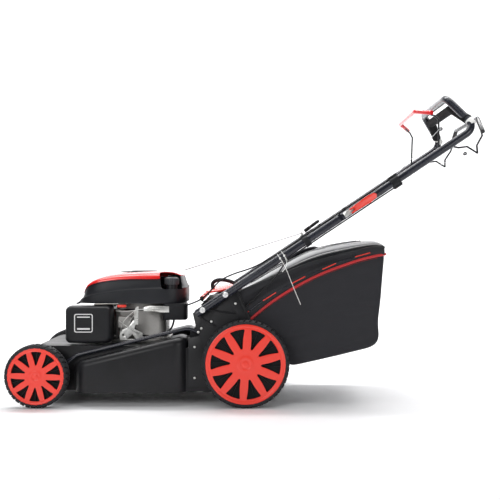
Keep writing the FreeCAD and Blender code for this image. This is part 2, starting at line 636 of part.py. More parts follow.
# ---------------------------------------------------------------- starter grip, cables
def build_starter():
    eye_at = V(-204, -TUBE_Y, 567)
    tube_at = on_handle(331, -TUBE_Y)
    stem = rod(tube_at + ABOVE * 12.7, eye_at - V(0, 0, 6), 4)
    eye = Part.makeTorus(8, 2.4, eye_at, V(0.95, 0, -0.31))
    tube = rod(on_handle(250, -TUBE_Y), on_handle(400, -TUBE_Y), TUBE_RADIUS)
    keep("rope_guide", fused([stem, eye]).cut(tube))
    exit_at = V(226, -62, 431.5)
    keep("starter_rope", rod(exit_at, eye_at, 1.6))
    pull = V(-0.80, 0, 0.60)
    base = eye_at + pull * 12
    grip = fused([rod(base, base + pull * 26, 7),
                  pipe([base + pull * 24 + V(0, -1, 0), base + pull * 32 + V(0, -34, 0),
                        base + pull * 62 + V(0, -34, 0), base + pull * 62 + V(0, 34, 0),
                        base + pull * 32 + V(0, 34, 0), base + pull * 24 + V(0, 1, 0)],
                       [8, 12, 12, 8], 5.5)])
    keep("starter_grip", grip)


CABLE_ABOVE = TUBE_RADIUS + CABLE_RADIUS + 0.4


def build_cables():
    low = [V(203, 160, 320), V(180, 191, 329), V(154, 214, 341), V(124, 224, 366), V(92, 230, 405),
           V(45, 237, 427), V(-12, 243, 444),
           on_handle(172, TUBE_Y, CABLE_ABOVE + 2), on_handle(240, TUBE_Y, CABLE_ABOVE),
           on_handle(370, TUBE_Y - 0.5, CABLE_ABOVE + 0.3),
           on_handle(FOLD_AT - 12, TUBE_Y - 4, CABLE_ABOVE + 0.4)]
    brake_lower = cable("brake_cable_lower", low, CABLE_RADIUS)
    high = [on_handle(FOLD_AT + 12, TUBE_Y + 4, CABLE_ABOVE + 0.4), on_handle(570, TUBE_Y, CABLE_ABOVE),
            on_handle(672, TUBE_Y, CABLE_ABOVE + 1)]
    brake_upper = cable("brake_cable_upper", high, CABLE_RADIUS)
    low = [V(-14, 50, 150), V(8, 88, 153), V(32, 128, 155), V(56, 168, 156), V(74, 204, 163), V(78, 222, 184),
           V(72, 224, 216), V(56, 224, 250), V(36, 224, 282), V(14, 224, 313), V(-14, 224, 340),
           V(-50, 226, 374), V(-85, 232, 408),
           on_handle(215, TUBE_Y - 3, -CABLE_ABOVE - 6), on_handle(250, TUBE_Y, -CABLE_ABOVE - 0.6),
           on_handle(290, TUBE_Y, -CABLE_ABOVE), on_handle(FOLD_AT - 12, TUBE_Y, -CABLE_ABOVE - 0.4)]
    keep("cables_lower", brake_lower, cable("drive_cable_lower", low, CABLE_RADIUS))
    high = [on_handle(FOLD_AT + 12, TUBE_Y, -CABLE_ABOVE - 0.4), on_handle(560, TUBE_Y, -CABLE_ABOVE),
            on_handle(672, TUBE_Y, -CABLE_ABOVE - 1)]
    keep("cables_upper", brake_upper, cable("drive_cable_upper", high, CABLE_RADIUS))

    def collar(s, length, reach):
        a, b = on_handle(s, TUBE_Y), on_handle(s + length, TUBE_Y)
        ring = rod(a, b, TUBE_RADIUS + 3)
        for side in (1, -1):
            ring = ring.fuse(rod(a + ABOVE * side * CABLE_ABOVE, b + ABOVE * side * CABLE_ABOVE, reach))
        ring = ring.cut(rod(on_handle(s - 1, TUBE_Y), on_handle(s + length + 1, TUBE_Y), TUBE_RADIUS + 0.15))
        for side in (1, -1):
            offset = ABOVE * side * (CABLE_ABOVE + 0.3)
            ring = ring.cut(rod(on_handle(s - 1, TUBE_Y) + offset, on_handle(s + length + 1, TUBE_Y) + offset,
                                CABLE_RADIUS + 0.8))
        return max(ring.Solids, key=lambda piece: piece.Volume)
    keep("cable_clip", collar(302, 20, 5))
    keep("cable_bracket", collar(640, 30, 7))
    hook_red = V(-624, BAIL_Y, 894)
    brake_wire = rod(on_handle(673, TUBE_Y, CABLE_ABOVE + 1), hook_red + V(3.8, 4.4, 1), 1.0)
    hook_black = V(-702, BAIL_Y, 814.4)
    drive_wire = rod(on_handle(673, TUBE_Y, -CABLE_ABOVE - 1), hook_black + V(5, 4.4, 1), 1.0)
    keep("brake_wire", brake_wire)
    keep("drive_wire", drive_wire)


# ---------------------------------------------------------------- bag and flap
BAG_OUTLINE = [(52, 352), (60, 364), (-2, 388), (-104, 447), (-207, 500), (-300, 522),
               (-405, 537), (-428, 524), (-436, 492), (-420, 352), (-412, 262), (-414, 214),
               (-400, 187), (-134, 123), (-97, 198), (-10, 207)]


def inset_outline(points, by):
    """The outline moved inwards by a small distance, its corners on the two neighbours' new lines."""
    moved = []
    count = len(points)
    area = sum(points[i][0] * points[(i + 1) % count][1] - points[(i + 1) % count][0] * points[i][1]
               for i in range(count))
    turn = 1 if area > 0 else -1
    for i in range(count):
        (ax, az), (bx, bz), (cx, cz) = points[i - 1], points[i], points[(i + 1) % count]
        n1 = V(-(bz - az), bx - ax, 0).normalize() * turn
        n2 = V(-(cz - bz), cx - bx, 0).normalize() * turn
        middle = (n1 + n2).normalize()
        reach = by / max(0.35, middle.dot(n1))
        moved.append((bx + middle.x * reach, bz + middle.y * reach))
    return moved


def build_bag():
    outer = side_plate(BAG_OUTLINE, -BAG_HALF, BAG_HALF)
    inner = side_plate(inset_outline(BAG_OUTLINE, BAG_WALL), -BAG_HALF + BAG_WALL, BAG_HALF - BAG_WALL)
    mouth = side_plate([(80, 336), (24, 336), (-30, 214), (20, 214)], -180, 180)
    shell = outer.cut(inner).cut(mouth)
    lid_cut = side_plate([(90, 344), (57, 358), (-107, 429), (-215, 470), (-336, 502), (-397, 516),
                          (-500, 516), (-500, 700), (90, 700)], -300, 300)
    under = lid_cut.copy()
    under.translate(V(0, 0, -0.3))
    lid = shell.common(lid_cut)
    fabric = shell.cut(under)
    keep("bag_lid", max(lid.Solids, key=lambda s: s.Volume))
    keep("bag_fabric", max(fabric.Solids, key=lambda s: s.Volume))
    frame = side_plate([(47, 343), (36, 338), (-16, 214), (-9, 211)], -188, 188)
    frame = frame.cut(side_plate([(60, 336), (20, 336), (-26, 220), (0, 220)], -176, 176))
    inside = frame.common(inner)
    keep("bag_frame", max(inside.Solids, key=lambda s: s.Volume))


FLAP_HINGE = V(150, 0, 345)


def build_flap():
    hx, hz = FLAP_HINGE.x, FLAP_HINGE.z
    plate = side_plate([(hx - 8, hz + 9), (hx - 18, hz + 21), (hx - 60, hz + 27), (26, 386), (22, 382),
                        (64, 369.5), (hx - 60, hz + 22), (hx - 22, hz + 16), (hx - 12, hz + 4)], -190, 190)
    knuckles = fused([cross_rod(hx, hz, y0, y1, 8) for y0, y1 in ((-190, -120), (-60, 60), (120, 190))])
    web_side = [(hx - 6, hz + 5), (hx - 10, hz + 14), (hx - 16, hz + 8), (hx - 8, hz - 2)]
    webs = fused([side_plate(web_side, y0, y1) for y0, y1 in ((-190, -120), (-60, 60), (120, 190))])
    flap = fused([plate, knuckles, webs]).cut(cross_rod(hx, hz, -200, 200, 4 + RUN_GAP))
    keep("rear_flap", flap)
    handle = pipe([V(hx - 28, 0, hz + 22), V(hx - 20, 0, hz + 41), V(hx - 42, 0, hz + 52), V(54, 0, hz + 52),
                   V(38, 0, 380)], [7, 20, 10], 7).cut(flap)
    keep("flap_handle", handle)
    cheek = [(hx - 4, hz - 12), (hx + 6, hz - 6), (hx + 6, hz + 6), (hx - 6, hz + 6)]
    rail = fused([cross_rod(hx, hz, -205, 205, 4), side_plate(cheek, 195, 199.8),
                  side_plate(cheek, -199.8, -195)])
    NODES["discharge_chute"] = Part.makeCompound(NODES["discharge_chute"].Solids + [rail])


def main():
    os.makedirs("parts", exist_ok=True)
    build_deck()
    build_side_plates()
    build_axles()
    for side, sign in SIDES.items():
        build_wheel(f"rear_{side}", REAR_X, REAR_RADIUS, 127.5, 4, sign)
        build_wheel(f"front_{side}", FRONT_X, FRONT_RADIUS, 90.5, 20, sign)
    build_engine()
    build_turning_parts()
    build_drive()
    build_lower_handle()
    build_upper_handle()
    build_bails()
    build_cam_levers()
    build_starter()
    build_cables()
    build_bag()
    build_flap()
    for name, shape in NODES.items():
        if not shape.isValid():
            print("not valid:", name)
        shape.exportStep(f"parts/{name}.step")
    print(len(NODES), "nodes")


main()
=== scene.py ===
"""Looks of a petrol push lawn mower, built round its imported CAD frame."""

import logging
import math
from dataclasses import dataclass
from enum import Enum

import bmesh
import bpy
from mathutils import Matrix, Vector, noise


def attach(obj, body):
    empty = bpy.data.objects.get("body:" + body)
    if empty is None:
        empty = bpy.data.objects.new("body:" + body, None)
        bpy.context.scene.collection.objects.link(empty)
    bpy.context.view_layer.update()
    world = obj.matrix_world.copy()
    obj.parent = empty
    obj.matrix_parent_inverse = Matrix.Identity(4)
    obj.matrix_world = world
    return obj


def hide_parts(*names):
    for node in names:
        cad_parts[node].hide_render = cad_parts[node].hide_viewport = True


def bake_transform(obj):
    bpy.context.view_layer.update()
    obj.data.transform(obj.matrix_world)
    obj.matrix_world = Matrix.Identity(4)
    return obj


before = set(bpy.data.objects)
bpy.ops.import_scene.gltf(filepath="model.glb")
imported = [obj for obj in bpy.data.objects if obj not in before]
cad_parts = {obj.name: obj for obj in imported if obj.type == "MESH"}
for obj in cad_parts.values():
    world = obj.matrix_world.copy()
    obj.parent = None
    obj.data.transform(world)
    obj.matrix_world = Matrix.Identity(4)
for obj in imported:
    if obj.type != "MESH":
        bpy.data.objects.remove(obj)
LOG = logging.getLogger("mower")
MM = 0.001
Colour = tuple[float, float, float]
Pair = tuple[float, float]
Triple = tuple[float, float, float]
SIDES: dict[str, int] = {"left": 1, "right": -1}
SLOPE = math.radians(33.74)
FOOT = Vector((71.7, 0.0, 359.7))
ALONG = Vector((-math.cos(SLOPE), 0.0, math.sin(SLOPE)))
ABOVE = Vector((math.sin(SLOPE), 0.0, math.cos(SLOPE)))
TUBE_Y = 245.0
CABLE_ABOVE = 15.4
LOWER_BOLT = -88.4
BEND_AT = 967.7
CABLE_END = 673.0
CRANK_X = 362.0
HOOD_TOP = 431.5
CAP_TOP = 411.0
RED_EYE = (-624.0, 894.0)
BLACK_EYE = (-702.0, 814.4)
RED_EYE_BEHIND = -630.0
EYE_Y = 231.4
WIRE_RADIUS = 3.0
TYRE_MIDDLE = 262.0
COVER_Y = 283.6
LABEL_Y = 190.1
BAIL_GRIP_RADIUS = 7.5
GRAIN_LOW = 0.35
GRAIN_HIGH = 0.65
BUMP_DEPTH = 0.0004
MERGE = 0.00001
NODE_MERGE = 0.00002
DUST_COLOUR = (0.42, 0.41, 0.38, 1)
BOX_FACES = [(0, 1, 3, 2), (4, 6, 7, 5), (0, 4, 5, 1), (2, 3, 7, 6), (0, 2, 6, 4), (1, 5, 7, 3)]


def on_handle(s: float, y: float = 0.0, above: float = 0.0) -> Triple:
    """A point in millimetres: s up the handle tube, y across, above it square to the tube."""
    place = FOOT + ALONG * s + ABOVE * above
    return (place.x, y, place.z)


# ------------------------------------------------------------------ finishes
class Pattern(Enum):
    """The kinds of surface texture that a finish can have."""

    MOULDED = "moulded"
    PAINT = "paint"
    BRUSHED = "brushed"
    CAST = "cast"
    FOAM = "foam"
    WEAVE = "weave"
    BRAID = "braid"


class NodeBench:
    """Places and joins shader or geometry nodes in one tree."""

    def __init__(self, tree: bpy.types.NodeTree) -> None:
        """Keeps the tree that nodes are added to."""
        self.tree = tree

    def add(self, kind: str, **settings: object) -> bpy.types.Node:
        """Adds one node.

        Args:
            kind: Blender's name for the node's type.
            settings: attributes to set on the node.

        Returns:
            The new node.
        """
        node = self.tree.nodes.new(kind)
        for key, value in settings.items():
            setattr(node, key, value)
        return node

    def join(self, source: bpy.types.NodeSocket, target: bpy.types.NodeSocket) -> None:
        """Links one output to one input."""
        self.tree.links.new(source, target)

    def maths(self, kind: str, *values: object) -> bpy.types.NodeSocket:
        """A Math node.

        Args:
            kind: the operation.
            values: each a number or a socket.

        Returns:
            The node's output socket.
        """
        node = self.add("ShaderNodeMath", operation=kind)
        for socket, value in zip(node.inputs, values):
            if isinstance(value, bpy.types.NodeSocket):
                self.join(value, socket)
            else:
                socket.default_value = value
        return node.outputs[0]


def shader_group(name: str, inputs: dict[str, tuple[str, object]],
                 outputs: dict[str, str]) -> bpy.types.NodeTree:
    """Makes an empty shader group with named sockets.

    Args:
        name: the group's name.
        inputs: socket name to its type and default.
        outputs: socket name to its type.

    Returns:
        The group, with its input and output nodes in place.
    """
    group = bpy.data.node_groups.new(name, "ShaderNodeTree")
    for key, (kind, value) in inputs.items():
        socket = group.interface.new_socket(key, in_out="INPUT", socket_type=kind)
        socket.default_value = value
    for key, kind in outputs.items():
        group.interface.new_socket(key, in_out="OUTPUT", socket_type=kind)
    group.nodes.new("NodeGroupInput")
    group.nodes.new("NodeGroupOutput")
    return group


def group_ends(group: bpy.types.NodeTree) -> tuple[bpy.types.Node, bpy.types.Node]:
    """The input and output nodes of a group."""
    start = next(n for n in group.nodes if n.bl_idname == "NodeGroupInput")
    end = next(n for n in group.nodes if n.bl_idname == "NodeGroupOutput")
    return start, end


def surface_grain_group() -> bpy.types.NodeTree:
    """Uneven colour, gloss and relief over a surface.

    Returns:
        A group that puts out Colour, Roughness and Height from Object coordinates.
    """
    name = "surface_grain"
    if name in bpy.data.node_groups:
        return bpy.data.node_groups[name]
    group = shader_group(
        name,
        {
            "Light": ("NodeSocketColor", (0.5, 0.5, 0.5, 1)),
            "Dark": ("NodeSocketColor", (0.4, 0.4, 0.4, 1)),
            "Smooth": ("NodeSocketFloat", 0.3),
            "Rough": ("NodeSocketFloat", 0.5),
            "Scale": ("NodeSocketFloat", 300.0),
            "Patches": ("NodeSocketFloat", 14.0),
            "Stretch": ("NodeSocketVector", (1, 1, 1)),
        },
        {"Colour": "NodeSocketColor", "Roughness": "NodeSocketFloat", "Height": "NodeSocketFloat"},
    )
    bench = NodeBench(group)
    start, end = group_ends(group)
    place = bench.add("ShaderNodeTexCoord")
    stretch = bench.add("ShaderNodeVectorMath", operation="MULTIPLY")
    bench.join(place.outputs["Object"], stretch.inputs[0])
    bench.join(start.outputs["Stretch"], stretch.inputs[1])
    patches = bench.add("ShaderNodeTexNoise")
    patches.inputs["Detail"].default_value = 6.0
    bench.join(place.outputs["Object"], patches.inputs["Vector"])
    bench.join(start.outputs["Patches"], patches.inputs["Scale"])
    fine = bench.add("ShaderNodeTexNoise")
    fine.inputs["Detail"].default_value = 2.0
    bench.join(stretch.outputs[0], fine.inputs["Vector"])
    bench.join(start.outputs["Scale"], fine.inputs["Scale"])
    both = bench.maths("ADD", bench.maths("MULTIPLY", patches.outputs["Fac"], 0.65),
                       bench.maths("MULTIPLY", fine.outputs["Fac"], 0.35))
    spread = bench.add("ShaderNodeMapRange")
    bench.join(both, spread.inputs["Value"])
    spread.inputs["From Min"].default_value = GRAIN_LOW
    spread.inputs["From Max"].default_value = GRAIN_HIGH
    mix = bench.add("ShaderNodeMix", data_type="RGBA")
    bench.join(spread.outputs[0], mix.inputs[0])
    bench.join(start.outputs["Dark"], mix.inputs[6])
    bench.join(start.outputs["Light"], mix.inputs[7])
    gloss = bench.add("ShaderNodeMapRange")
    bench.join(both, gloss.inputs["Value"])
    gloss.inputs["From Min"].default_value = GRAIN_LOW
    gloss.inputs["From Max"].default_value = GRAIN_HIGH
    bench.join(start.outputs["Smooth"], gloss.inputs["To Min"])
    bench.join(start.outputs["Rough"], gloss.inputs["To Max"])
    bench.join(mix.outputs[2], end.inputs["Colour"])
    bench.join(gloss.outputs[0], end.inputs["Roughness"])
    bench.join(fine.outputs["Fac"], end.inputs["Height"])
    return group


def settled_dust_group() -> bpy.types.NodeTree:
    """A light film of dust on faces that look upwards.

    Returns:
        A group that puts out Mask, from 0 where clean.
    """
    name = "settled_dust"
    if name in bpy.data.node_groups:
        return bpy.data.node_groups[name]
    group = shader_group(name, {"Amount": ("NodeSocketFloat", 0.1)}, {"Mask": "NodeSocketFloat"})
    bench = NodeBench(group)
    start, end = group_ends(group)
    face = bench.add("ShaderNodeNewGeometry")
    split = bench.add("ShaderNodeSeparateXYZ")
    bench.join(face.outputs["Normal"], split.inputs[0])
    upward = bench.add("ShaderNodeMapRange")
    bench.join(split.outputs[2], upward.inputs["Value"])
    upward.inputs["From Min"].default_value = 0.25
    upward.inputs["From Max"].default_value = 0.95
    place = bench.add("ShaderNodeTexCoord")
    cloud = bench.add("ShaderNodeTexNoise")
    cloud.inputs["Scale"].default_value = 22.0
    cloud.inputs["Detail"].default_value = 8.0
    bench.join(place.outputs["Object"], cloud.inputs["Vector"])
    soft = bench.maths("MULTIPLY", upward.outputs[0], cloud.outputs["Fac"])
    bench.join(bench.maths("MULTIPLY", soft, start.outputs["Amount"]), end.inputs["Mask"])
    return group


def weave_group() -> bpy.types.NodeTree:
    """Over and under threads of a plain weave.

    Returns:
        A group that puts out Height and Shade, from 0 to 1.
    """
    name = "plain_weave"
    if name in bpy.data.node_groups:
        return bpy.data.node_groups[name]
    group = shader_group(name, {"Threads": ("NodeSocketFloat", 2400.0)},
                         {"Height": "NodeSocketFloat", "Shade": "NodeSocketFloat"})
    bench = NodeBench(group)
    start, end = group_ends(group)
    place = bench.add("ShaderNodeTexCoord")
    split = bench.add("ShaderNodeSeparateXYZ")
    bench.join(place.outputs["Object"], split.inputs[0])
    across = bench.maths("SINE", bench.maths("MULTIPLY", split.outputs[0], start.outputs["Threads"]))
    height = bench.maths("ADD", split.outputs[1], split.outputs[2])
    along = bench.maths("SINE", bench.maths("MULTIPLY", height, start.outputs["Threads"]))
    knit = bench.maths("ADD", bench.maths("MULTIPLY", bench.maths("MULTIPLY", across, along), 0.5), 0.5)
    bench.join(knit, end.inputs["Height"])
    bench.join(bench.maths("ADD", bench.maths("MULTIPLY", knit, 0.5), 0.5), end.inputs["Shade"])
    return group


@dataclass(frozen=True)
class Finish:
    """One real surface: its two near colours, gloss, texture and coat."""

    name: str
    light: Colour
    dark: Colour
    smooth: float
    rough: float
    pattern: Pattern = Pattern.MOULDED
    bump: float = 0.2
    metal: float = 0.0
    coat: float = 0.0
    coat_rough: float = 0.08
    sheen: float = 0.0
    dust: float = 0.0
    specular: float = 0.5

    def texture_scale(self) -> float:
        """How many texture cells go to a metre."""
        return {
            Pattern.MOULDED: 900.0,
            Pattern.PAINT: 260.0,
            Pattern.BRUSHED: 500.0,
            Pattern.CAST: 420.0,
            Pattern.FOAM: 700.0,
            Pattern.WEAVE: 60.0,
            Pattern.BRAID: 900.0,
        }[self.pattern]

    def stretch(self) -> Triple:
        """How much finer the texture is along each axis."""
        if self.pattern is Pattern.BRUSHED:
            return (0.12, 1.0, 1.0)
        return (1.0, 1.0, 1.0)

    def material(self) -> bpy.types.Material:
        """Builds this finish's material once.

        Returns:
            The material.
        """
        if self.name in bpy.data.materials:
            return bpy.data.materials[self.name]
        made = bpy.data.materials.new(self.name)
        made.use_nodes = True
        made.diffuse_color = (*self.light, 1)
        bench = NodeBench(made.node_tree)
        shader = next(n for n in made.node_tree.nodes if n.bl_idname == "ShaderNodeBsdfPrincipled")
        grain = bench.add("ShaderNodeGroup", node_tree=surface_grain_group())
        grain.inputs["Light"].default_value = (*self.light, 1)
        grain.inputs["Dark"].default_value = (*self.dark, 1)
        grain.inputs["Smooth"].default_value = self.smooth
        grain.inputs["Rough"].default_value = self.rough
        grain.inputs["Scale"].default_value = self.texture_scale()
        grain.inputs["Stretch"].default_value = self.stretch()
        colour = grain.outputs["Colour"]
        height = grain.outputs["Height"]
        if self.pattern in (Pattern.WEAVE, Pattern.BRAID):
            weave = bench.add("ShaderNodeGroup", node_tree=weave_group())
            weave.inputs["Threads"].default_value = 2400.0 if self.pattern is Pattern.WEAVE else 3200.0
            shade = bench.add("ShaderNodeMix", data_type="RGBA", blend_type="MULTIPLY")
            shade.inputs[0].default_value = 0.7
            bench.join(colour, shade.inputs[6])
            bench.join(weave.outputs["Shade"], shade.inputs[7])
            colour = shade.outputs[2]
            height = weave.outputs["Height"]
        if self.pattern in (Pattern.FOAM, Pattern.CAST):
            cells = bench.add("ShaderNodeTexVoronoi")
            cells.inputs["Scale"].default_value = self.texture_scale()
            place = bench.add("ShaderNodeTexCoord")
            bench.join(place.outputs["Object"], cells.inputs["Vector"])
            height = bench.maths("ADD", height, cells.outputs["Distance"])
        if self.dust:
            dust = bench.add("ShaderNodeGroup", node_tree=settled_dust_group())
            dust.inputs["Amount"].default_value = self.dust
            film = bench.add("ShaderNodeMix", data_type="RGBA")
            bench.join(dust.outputs["Mask"], film.inputs[0])
            bench.join(colour, film.inputs[6])
            film.inputs[7].default_value = DUST_COLOUR
            colour = film.outputs[2]
        bump = bench.add("ShaderNodeBump")
        bump.inputs["Strength"].default_value = self.bump
        bump.inputs["Distance"].default_value = BUMP_DEPTH
        bench.join(height, bump.inputs["Height"])
        bench.join(colour, shader.inputs["Base Color"])
        bench.join(grain.outputs["Roughness"], shader.inputs["Roughness"])
        bench.join(bump.outputs["Normal"], shader.inputs["Normal"])
        shader.inputs["Metallic"].default_value = self.metal
        shader.inputs["Coat Weight"].default_value = self.coat
        shader.inputs["Coat Roughness"].default_value = self.coat_rough
        shader.inputs["Sheen Weight"].default_value = self.sheen
        shader.inputs["Specular IOR Level"].default_value = self.specular
        return made


BLACK_STEEL = Finish("deck_paint", (0.010, 0.010, 0.012), (0.006, 0.006, 0.007), 0.30, 0.44,
                     Pattern.PAINT, 0.10, dust=0.006, specular=0.3)
TUBE_PAINT = Finish("tube_paint", (0.014, 0.016, 0.026), (0.008, 0.009, 0.016), 0.20, 0.32, Pattern.PAINT,
                    0.10, coat=0.4, coat_rough=0.10, specular=0.4)
WIRE_PAINT = Finish("wire_coating", (0.014, 0.014, 0.018), (0.009, 0.009, 0.011), 0.28, 0.4,
                    Pattern.PAINT, 0.08, specular=0.3)
ZINC = Finish("zinc_plate", (0.78, 0.78, 0.76), (0.62, 0.62, 0.58), 0.22, 0.42, Pattern.BRUSHED, 0.15,
              metal=1.0)
BOLT_ZINC = Finish("bright_bolt", (0.90, 0.90, 0.90), (0.78, 0.78, 0.78), 0.18, 0.3, Pattern.BRUSHED,
                   0.08, metal=0.55)
CAST_ALLOY = Finish("cast_alloy", (0.48, 0.47, 0.45), (0.34, 0.33, 0.32), 0.42, 0.62, Pattern.CAST, 0.5,
                    metal=0.85)
STEEL = Finish("machined_steel", (0.55, 0.55, 0.56), (0.42, 0.42, 0.43), 0.25, 0.4, Pattern.BRUSHED, 0.2,
               metal=1.0)
BLADE_STEEL = Finish("blade_steel", (0.09, 0.09, 0.095), (0.05, 0.05, 0.055), 0.3, 0.5, Pattern.BRUSHED,
                     0.2, metal=0.6)
BLACK_PLASTIC = Finish("textured_plastic", (0.013, 0.014, 0.016), (0.008, 0.008, 0.010), 0.38, 0.52,
                       Pattern.MOULDED, 0.28, dust=0.008, specular=0.25)
HOOD_PLASTIC = Finish("hood_plastic", (0.017, 0.018, 0.022), (0.011, 0.012, 0.015), 0.34, 0.46,
                      Pattern.MOULDED, 0.2, dust=0.006, specular=0.3)
# Lighter grey than the other black plastic: painted light on the fuel cap's top, which sits in the shade of
# its pocket.
LIT_CAP_PLASTIC = Finish("cap_plastic", (0.060, 0.064, 0.070), (0.034, 0.036, 0.040), 0.34, 0.46,
                     Pattern.MOULDED, 0.2, specular=0.4)
BAND_PLASTIC = Finish("band_plastic", (0.028, 0.028, 0.032), (0.018, 0.018, 0.021), 0.40, 0.52,
                      Pattern.MOULDED, 0.2, specular=0.25)
GLOSS_PLASTIC = Finish("lid_plastic", (0.012, 0.013, 0.015), (0.008, 0.008, 0.010), 0.18, 0.28,
                       Pattern.MOULDED, 0.10, coat=0.2, coat_rough=0.15, dust=0.006, specular=0.35)
RED_PLASTIC = Finish("red_plastic", (0.84, 0.012, 0.010), (0.76, 0.008, 0.007), 0.30, 0.42,
                     Pattern.MOULDED, 0.08, coat=0.15, coat_rough=0.25, specular=0.35)
RED_HOOD = Finish("red_hood", (0.84, 0.014, 0.012), (0.74, 0.009, 0.008), 0.16, 0.26, Pattern.PAINT, 0.05,
                  coat=0.6, coat_rough=0.06)
RED_GRIP = Finish("red_grip", (0.86, 0.016, 0.022), (0.74, 0.010, 0.014), 0.16, 0.26, Pattern.PAINT, 0.05,
                  coat=0.6, coat_rough=0.08)
TYRE_RUBBER = Finish("tyre_rubber", (0.022, 0.023, 0.026), (0.012, 0.012, 0.014), 0.5, 0.72,
                     Pattern.MOULDED, 0.4, dust=0.02, specular=0.3)
RIM_PLASTIC = Finish("rim_plastic", (0.010, 0.010, 0.011), (0.006, 0.006, 0.007), 0.45, 0.6,
                     Pattern.MOULDED, 0.2, specular=0.2)
RUBBER = Finish("soft_rubber", (0.014, 0.014, 0.015), (0.008, 0.008, 0.009), 0.38, 0.55, Pattern.MOULDED,
                0.2, specular=0.25)
FOAM = Finish("grip_foam", (0.016, 0.016, 0.017), (0.008, 0.008, 0.009), 0.7, 0.9, Pattern.FOAM, 0.5,
              specular=0.1)
BAG_CLOTH = Finish("bag_cloth", (0.012, 0.012, 0.015), (0.007, 0.007, 0.009), 0.30, 0.44, Pattern.WEAVE,
                   0.06, specular=0.6)
RED_TAPE = Finish("red_tape", (0.70, 0.014, 0.020), (0.52, 0.008, 0.012), 0.4, 0.55, Pattern.BRAID, 0.4,
                  sheen=0.15)
ROPE = Finish("starter_cord", (0.26, 0.26, 0.25), (0.17, 0.17, 0.16), 0.6, 0.8, Pattern.BRAID, 0.8)
NYLON = Finish("tie_nylon", (0.86, 0.86, 0.84), (0.74, 0.74, 0.72), 0.3, 0.42, Pattern.MOULDED, 0.1)
LABEL_FILM = Finish("label_film", (0.80, 0.80, 0.80), (0.70, 0.70, 0.70), 0.3, 0.4, Pattern.MOULDED, 0.05)
EXHAUST = Finish("exhaust_steel", (0.30, 0.28, 0.25), (0.16, 0.15, 0.14), 0.45, 0.65, Pattern.CAST, 0.3,
                 metal=0.8)

NODE_FINISH: dict[str, Finish] = {
    "deck_shell": BLACK_STEEL, "discharge_chute": BLACK_PLASTIC, "handle_plates": BLACK_STEEL,
    "engine_block": CAST_ALLOY, "frame_bolts": BOLT_ZINC, "cylinder": CAST_ALLOY, "spark_plug": RUBBER,
    "fuel_tank": BLACK_PLASTIC, "air_filter": BLACK_PLASTIC, "carburettor": CAST_ALLOY,
    "engine_brackets": ZINC, "muffler": EXHAUST, "gearbox": CAST_ALLOY, "drive_belt": RUBBER,
    "lower_handle": TUBE_PAINT, "rope_guide": ZINC, "cable_clip": BLACK_PLASTIC,
    "front_axle": TUBE_PAINT, "rear_axle": TUBE_PAINT, "height_link": TUBE_PAINT, "drive_shaft": STEEL,
    "gearbox_pulley": STEEL, "crankshaft": STEEL, "flywheel": CAST_ALLOY, "blade_adapter": STEEL,
    "blade": BLADE_STEEL, "starter_pulley": BLACK_PLASTIC, "starter_grip": RUBBER, "brake_lever": ZINC,
    "fuel_cap": BLACK_PLASTIC, "oil_cap": BLACK_PLASTIC, "upper_handle": TUBE_PAINT,
    "clamp_bolts": ZINC, "cable_bracket": BLACK_PLASTIC, "cam_lever_left": RED_PLASTIC,
    "cam_lever_right": RED_PLASTIC, "bag_frame": TUBE_PAINT, "rear_flap": RED_PLASTIC,
    "flap_handle": BLACK_PLASTIC,
}


# ------------------------------------------------------------------ mesh work
def raw_mesh(name: str, points: list[Triple], faces: list[tuple[int, ...]]) -> bpy.types.Object:
    """Makes an object from points in millimetres.

    Args:
        name: the object's name.
        points: the corners.
        faces: corner numbers of each face.

    Returns:
        The new object, in the scene, with doubles merged and faces outward.
    """
    mesh = bpy.data.meshes.new(name)
    mesh.from_pydata([tuple(c * MM for c in p) for p in points], [], faces)
    made = bpy.data.objects.new(name, mesh)
    bpy.context.scene.collection.objects.link(made)
    tidy_mesh(made)
    return made


def tidy_mesh(piece: bpy.types.Object, merge: float = MERGE) -> None:
    """Merges doubles and turns every face outward."""
    work = bmesh.new()
    work.from_mesh(piece.data)
    bmesh.ops.remove_doubles(work, verts=work.verts, dist=merge)
    bmesh.ops.recalc_face_normals(work, faces=work.faces)
    work.to_mesh(piece.data)
    work.free()


def bake(piece: bpy.types.Object) -> bpy.types.Object:
    """Turns live modifiers into a plain mesh.

    Args:
        piece: a mesh or curve object.

    Returns:
        The same object, or a mesh object in the place of a curve.
    """
    bpy.context.view_layer.update()
    graph = bpy.context.evaluated_depsgraph_get()
    plain = bpy.data.meshes.new_from_object(piece.evaluated_get(graph), depsgraph=graph)
    if piece.type != "MESH":
        name = piece.name
        piece.name = name + "_line"
        made = bpy.data.objects.new(name, plain)
        bpy.context.scene.collection.objects.link(made)
        bpy.data.objects.remove(piece)
        return made
    piece.modifiers.clear()
    piece.data = plain
    return piece


def bevel(piece: bpy.types.Object, width: float, segments: int = 2,
          angle: float = 35.0) -> bpy.types.Object:
    """Rounds sharp edges by a width in millimetres and bakes the result."""
    step = piece.modifiers.new("edge", "BEVEL")
    step.width = width * MM
    step.segments = segments
    step.limit_method = "ANGLE"
    step.angle_limit = math.radians(angle)
    step.use_clamp_overlap = True
    step.miter_outer = "MITER_ARC"
    return bake(piece)


def thicken(piece: bpy.types.Object, thickness: float, inward: bool = True) -> bpy.types.Object:
    """Gives an open skin a wall of a thickness in millimetres and bakes it."""
    step = piece.modifiers.new("wall", "SOLIDIFY")
    step.thickness = thickness * MM
    step.offset = -1.0 if inward else 1.0
    step.use_even_offset = True
    return bake(piece)


